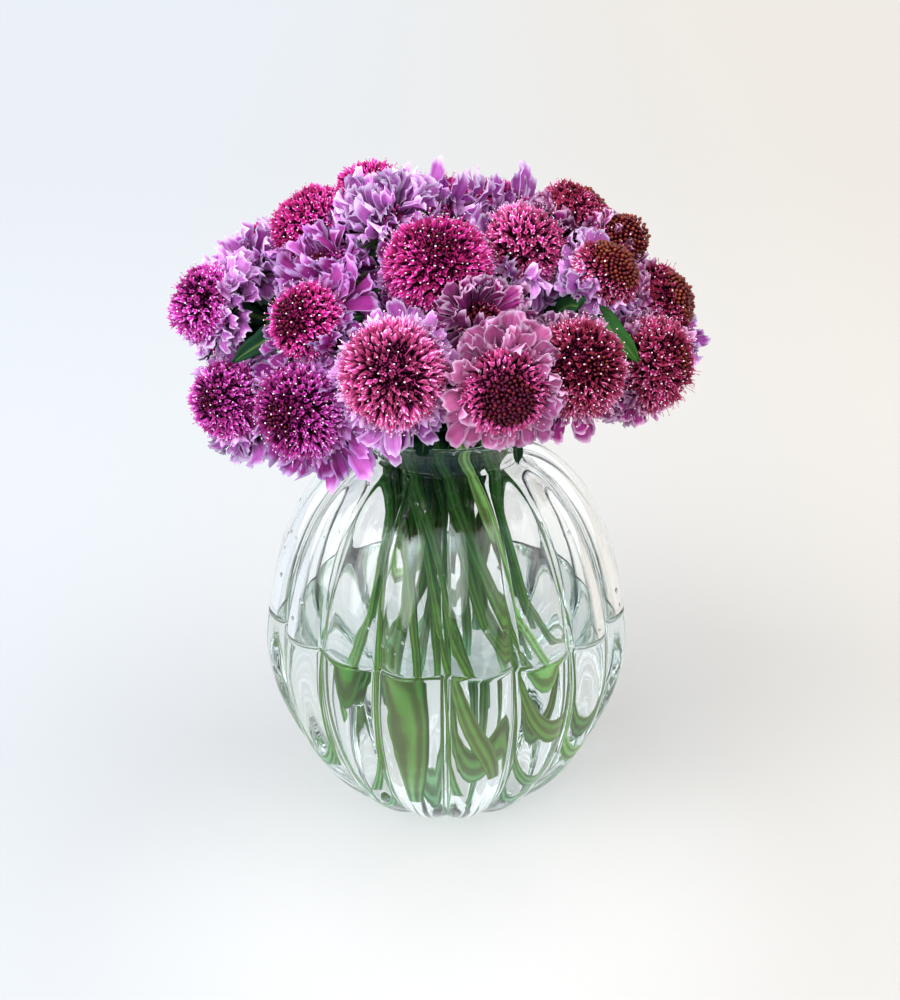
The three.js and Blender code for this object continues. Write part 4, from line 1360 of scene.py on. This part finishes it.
class POSY_OT_blooms(bpy.types.Operator):
    """Grow the blooms: ruffled rays, a dome of florets and buds, and pin-headed stamens"""

    bl_idname = "posy.blooms"
    bl_label = "Blooms"

    def execute(self, context):
        s = context.scene.posy_bloom
        rng = random.Random(TEMPLATE_SEED)
        rays = {
            kind: [
                ray_lobe(rng, rng.uniform(*widths), ruffle, rng.uniform(*curls))
                for _ in range(count)
            ]
            for kind, (count, widths, ruffle, curls) in LOBE_SHAPES.items()
        }
        rays["bud"] = rays["pincushion"]
        pin_length = 8.0
        kit = SimpleNamespace(
            florets=[star_floret(rng, 3 + (i % 6 == 0), 0.40, 0.74, 1.1, 1) for i in range(12)],
            cups=[star_floret(rng, 5, 0.44, 0.66, 0.6, 0) for _ in range(6)],
            pins=[pin(rng, pin_length, s.pin_head / MM) for _ in range(4)],
            pin_length=pin_length, bead=bead(),
        )
        dome = core_dome()
        families = {
            "magenta": (s.magenta_ray, s.lilac_ray, s.magenta_floret, s.mauve_edge),
            "violet": (s.lilac_ray, s.pale_ray, s.violet_floret, s.pale_edge),
            "plum": (s.magenta_ray, s.lilac_ray, s.plum_floret, s.mauve_edge),
            "pink": (s.lilac_ray, s.pale_ray, s.rose_floret, s.pale_edge),
            "lilac": (s.lilac_ray, s.pale_ray, s.lilac_floret, s.pale_edge),
            "maroon": (s.maroon_ray, s.magenta_ray, s.maroon_floret, s.cream_edge),
            "heather": (s.lilac_ray, s.pale_ray, s.maroon_floret, s.pale_edge),
            "rose": (s.rose_ray, s.pale_ray, s.rose_floret, s.cream_edge),
        }
        brown = ("maroon", "heather")  # families with brown buds
        # Throat colour of the florets: partly their own dark crimson, partly painted shade of the
        # recesses between them.
        deep = (0.030, 0.001, 0.012)
        finishes = {}
        pin_tip = dotted_finish("Stamen heads", s.pin_colour, (0.75, 0.50, 0.62), 0.5, 900.0)
        for name, (ray, light, floret, edge) in families.items():
            button = s.brown_bead_colour if name in brown else s.bead_colour
            root = (0.24 * ray[0], 0.10 * ray[1], 0.20 * ray[2])
            dark_button = tuple(0.35 * c for c in button)
            finishes[name] = [
                ray_finish(f"Ray petals {name}", ray, light, edge, root),
                floret_finish(f"Florets {name}", floret, deep, edge), pin_tip,
                dotted_finish(f"Closed buds {name}", button, dark_button, 0.3, 700.0),
                core_finish(f"Head core {name}", floret, (0.010, 0.0005, 0.004)),
            ]
        for site in (c for c in cells() if c.id):
            rng = random.Random(BLOOM_SEEDS[0] + site.id * BLOOM_SEEDS[1])
            if site.id in TURNED_HEADS:
                point_site(site, *TURNED_HEADS[site.id])
            usual = DOME_SHARE[site.kind], HEADS[site.kind].buds, len(RAY_RINGS[site.kind])
            dome_share, buds, rings = DOME_OF_BLOOM.get(site.id, usual)
            size = site.head * dome_share
            tall = size * DOME_HEIGHT[site.kind]
            bloom = Bloom(site, rng)
            bloom.add(
                dome, site.centre - site.axis * 0.5, site.side, site.up, site.axis,
                (size * CORE_SHARE, size * CORE_SHARE, tall * CORE_SHARE), 0.5,
            )
            grow_rays(bloom, rays[site.kind], RAY_RINGS[site.kind][:rings], size)
            grow_head(bloom, kit, size, tall, buds)
            number = f"{site.id:02d}"
            bloom.finish(
                f"Bloom_{number}", finishes[site.family], SLOT_OF_KIND[site.kind],
                f"bloom_{number}",
            )
        for mesh in [m for m in bpy.data.meshes if m.name.startswith("template")]:
            bpy.data.meshes.remove(mesh)
        return {"FINISHED"}


# ---------------------------------------------------------------- stage
FLOOR_EXTENT = 45.0  # metres
COOL_LIGHT_TINT = (0.950, 1.0, 1.06)  # painted tint of the cool light on the left of the floor
WARM_LIGHT_TINT = (0.995, 0.955, 0.905)  # and of the warm light on the right
FAR_SHADE = (0.10, 0.10, 0.10)  # mixed in at the back
NEAR_VASE_PAINTED_LIGHT = (1.0, 0.99, 0.97)  # painted light, mixed in just before the vase where the posy's shade falls
PAINTED_LIGHT_CENTRE = (0.0, -0.09, 0.0)

# What the glass mirrors of the room in front of it. Were it pale, it would veil the stems.
FRONT_OF_FLOOR = (0.12, 0.23, 0.28)
FRONT_OF_SKY = (0.30, 0.42, 0.47)

LOW_SKY = (0.90, 0.93, 0.96)
HIGH_SKY = (1.0, 1.0, 1.0)
BACKDROP = (0.69, 0.70, 0.705)
WINDOW_WAY = (-0.52, -0.48, 0.71)  # where the glass mirrors a bright window
WINDOW_EDGE = (0.968, 0.980)
WINDOW_POWER = 6.0

# Lamps: name, the way they shine, and the tint of their light.
LAMPS = (
    ("Key", (0.62, 0.62, -0.60), (0.98, 0.99, 1.0)),
    ("Fill", (-0.75, 0.25, -0.65), (1.0, 0.98, 0.94)),
)
LAMP_SPREAD = math.radians(60)

VIEW_GAMMA = 0.88
MOST_BOUNCES = 32
CAMERA_TARGET = (0.0015, 0, 0.136)
CAMERA_DISTANCE = 0.8
CAMERA_HEIGHT = math.radians(24)
CAMERA_LENS = 69.4


class POSY_OT_stage(bpy.types.Operator):
    """Set the plain floor, the soft studio light and the camera"""

    bl_idname = "posy.stage"
    bl_label = "Stage"

    def execute(self, context):
        s = context.scene.posy_stage
        self.floor(context, s)
        self.lights(context, s)
        self.world(context, s)
        self.camera(context)
        context.scene.view_settings.view_transform = "Standard"
        context.scene.view_settings.gamma = VIEW_GAMMA
        light = context.scene.cycles
        light.max_bounces = light.transmission_bounces = MOST_BOUNCES
        light.transparent_max_bounces = MOST_BOUNCES
        return {"FINISHED"}

    def floor(self, context, s):
        bm = bmesh.new()
        bmesh.ops.create_circle(bm, cap_ends=True, segments=96, radius=FLOOR_EXTENT)
        mesh = bpy.data.meshes.new("Floor")
        bm.to_mesh(mesh)
        bm.free()
        f = Finish("Studio floor")
        side, deep = f.node("SeparateXYZ", Vector=f.place()).outputs[:2]
        # Painted light: the floor is tinted cool on the left and warm on the right, after the
        # colour of the light falling there.
        cool = tuple(c * k for c, k in zip(s.floor_colour, COOL_LIGHT_TINT))
        warm = tuple(c * k for c, k in zip(s.floor_colour, WARM_LIGHT_TINT))
        base = f.mix(f.ramp(side, -0.35, 0.40), cool, warm)
        far = f.math("MULTIPLY", f.ramp(deep, -0.30, 1.2), 0.135)
        base = f.mix(far, base, FAR_SHADE)
        # Painted light: the floor is lightened round a spot just before the vase, lifting the
        # posy's shade there.
        from_painted_light_centre = f.vector("DISTANCE", f.place(), PAINTED_LIGHT_CENTRE)
        base = f.mix(f.ramp(from_painted_light_centre, 0.05, 0.17, 0.15, 0.0), base, NEAR_VASE_PAINTED_LIGHT)
        mirrored = f.mirrored(f.node("LightPath").outputs)
        before = f.math("MULTIPLY", mirrored, f.ramp(deep, -0.40, -0.12, 0.92, 0.0))
        base = f.mix(before, base, FRONT_OF_FLOOR)
        mesh.materials.append(f.done(f.skin(base, Roughness=0.9, Specular_IOR_Level=0.0)))
        floor = bpy.data.objects.new("Floor", mesh)
        context.scene.collection.objects.link(floor)

    def lights(self, context, s):
        for (name, way, tint), power in zip(LAMPS, (s.key_power, s.fill_power)):
            lamp = bpy.data.lights.new(name, "SUN")
            lamp.angle, lamp.energy, lamp.color = LAMP_SPREAD, power, tint
            holder = bpy.data.objects.new(name, lamp)
            holder.location = (0, 0, 2)
            holder.rotation_euler = Vector(way).to_track_quat("-Z", "Y").to_euler()
            context.scene.collection.objects.link(holder)

    def world(self, context, s):
        world = bpy.data.worlds.new("Studio")
        context.scene.world = world
        world.use_nodes = True
        w = Nodes(world.node_tree)
        way = w.node("TexCoord").outputs["Generated"]
        _, deep, level = w.node("SeparateXYZ", Vector=way).outputs
        sky = w.mix(w.ramp(level, -0.2, 0.9, course="LINEAR"), LOW_SKY, HIGH_SKY)
        path = w.node("LightPath").outputs
        mirrored = w.mirrored(path)
        unmirrored = w.math("SUBTRACT", 1.0, path["Glossy Depth"], clamp=True)
        pale = w.math("MAXIMUM", unmirrored, path["Is Diffuse Ray"])
        pale = w.math("MAXIMUM", w.ramp(deep, -0.62, -0.22, course="LINEAR"), pale)
        toned = w.mix(pale, FRONT_OF_SKY, sky)
        seen = w.mix(path["Is Camera Ray"], toned, BACKDROP)
        towards = w.vector("DOT_PRODUCT", way, WINDOW_WAY)
        window = w.math("MULTIPLY", w.ramp(towards, *WINDOW_EDGE, course="LINEAR"), mirrored)
        not_soft = w.math("SUBTRACT", 1.0, path["Is Diffuse Ray"])
        window = w.math("MULTIPLY", window, not_soft)
        power = w.math("ADD", w.math("MULTIPLY", window, WINDOW_POWER), s.sky_power)
        shine = w.node("Background", Color=seen, Strength=power)
        w.node("OutputWorld", Surface=shine.outputs[0])

    def camera(self, context):
        lens = bpy.data.cameras.new("Camera")
        lens.lens, lens.sensor_width, lens.sensor_fit = CAMERA_LENS, 36.0, "AUTO"
        lens.clip_start, lens.clip_end = 0.01, 100
        camera = bpy.data.objects.new("Camera", lens)
        back = Vector((0, -math.cos(CAMERA_HEIGHT), math.sin(CAMERA_HEIGHT)))
        camera.location = Vector(CAMERA_TARGET) + back * CAMERA_DISTANCE
        camera.rotation_euler = (math.pi / 2 - CAMERA_HEIGHT, 0, 0)
        context.scene.collection.objects.link(camera)
        context.scene.camera = camera


# ---------------------------------------------------------------- panel and registration
OPERATORS = (POSY_OT_vase, POSY_OT_water, POSY_OT_stems, POSY_OT_blooms, POSY_OT_stage)


class POSY_PT_panel(bpy.types.Panel):
    """Lists the steps that build the posy"""

    bl_label = "Scabious posy"
    bl_idname = "POSY_PT_panel"
    bl_space_type = "VIEW_3D"
    bl_region_type = "UI"
    bl_category = "Posy"

    def draw(self, context):
        for operator in OPERATORS:
            self.layout.operator(operator.bl_idname)


SETTINGS = {
    "posy_vase": PosyVaseSettings,
    "posy_stem": PosyStemSettings,
    "posy_bloom": PosyBloomSettings,
    "posy_stage": PosyStageSettings,
}
CLASSES = (*SETTINGS.values(), *OPERATORS, POSY_PT_panel)


def register():
    for made in CLASSES:
        bpy.utils.register_class(made)
    for name, group in SETTINGS.items():
        setattr(bpy.types.Scene, name, PointerProperty(type=group))


def unregister():
    for name in SETTINGS:
        delattr(bpy.types.Scene, name)
    for made in reversed(CLASSES):
        bpy.utils.unregister_class(made)


def main():
    register()
    bpy.ops.posy.vase()
    bpy.ops.posy.water()
    bpy.ops.posy.stems()
    bpy.ops.posy.blooms()
    bpy.ops.posy.stage()


if __name__ == "__main__":
    main()
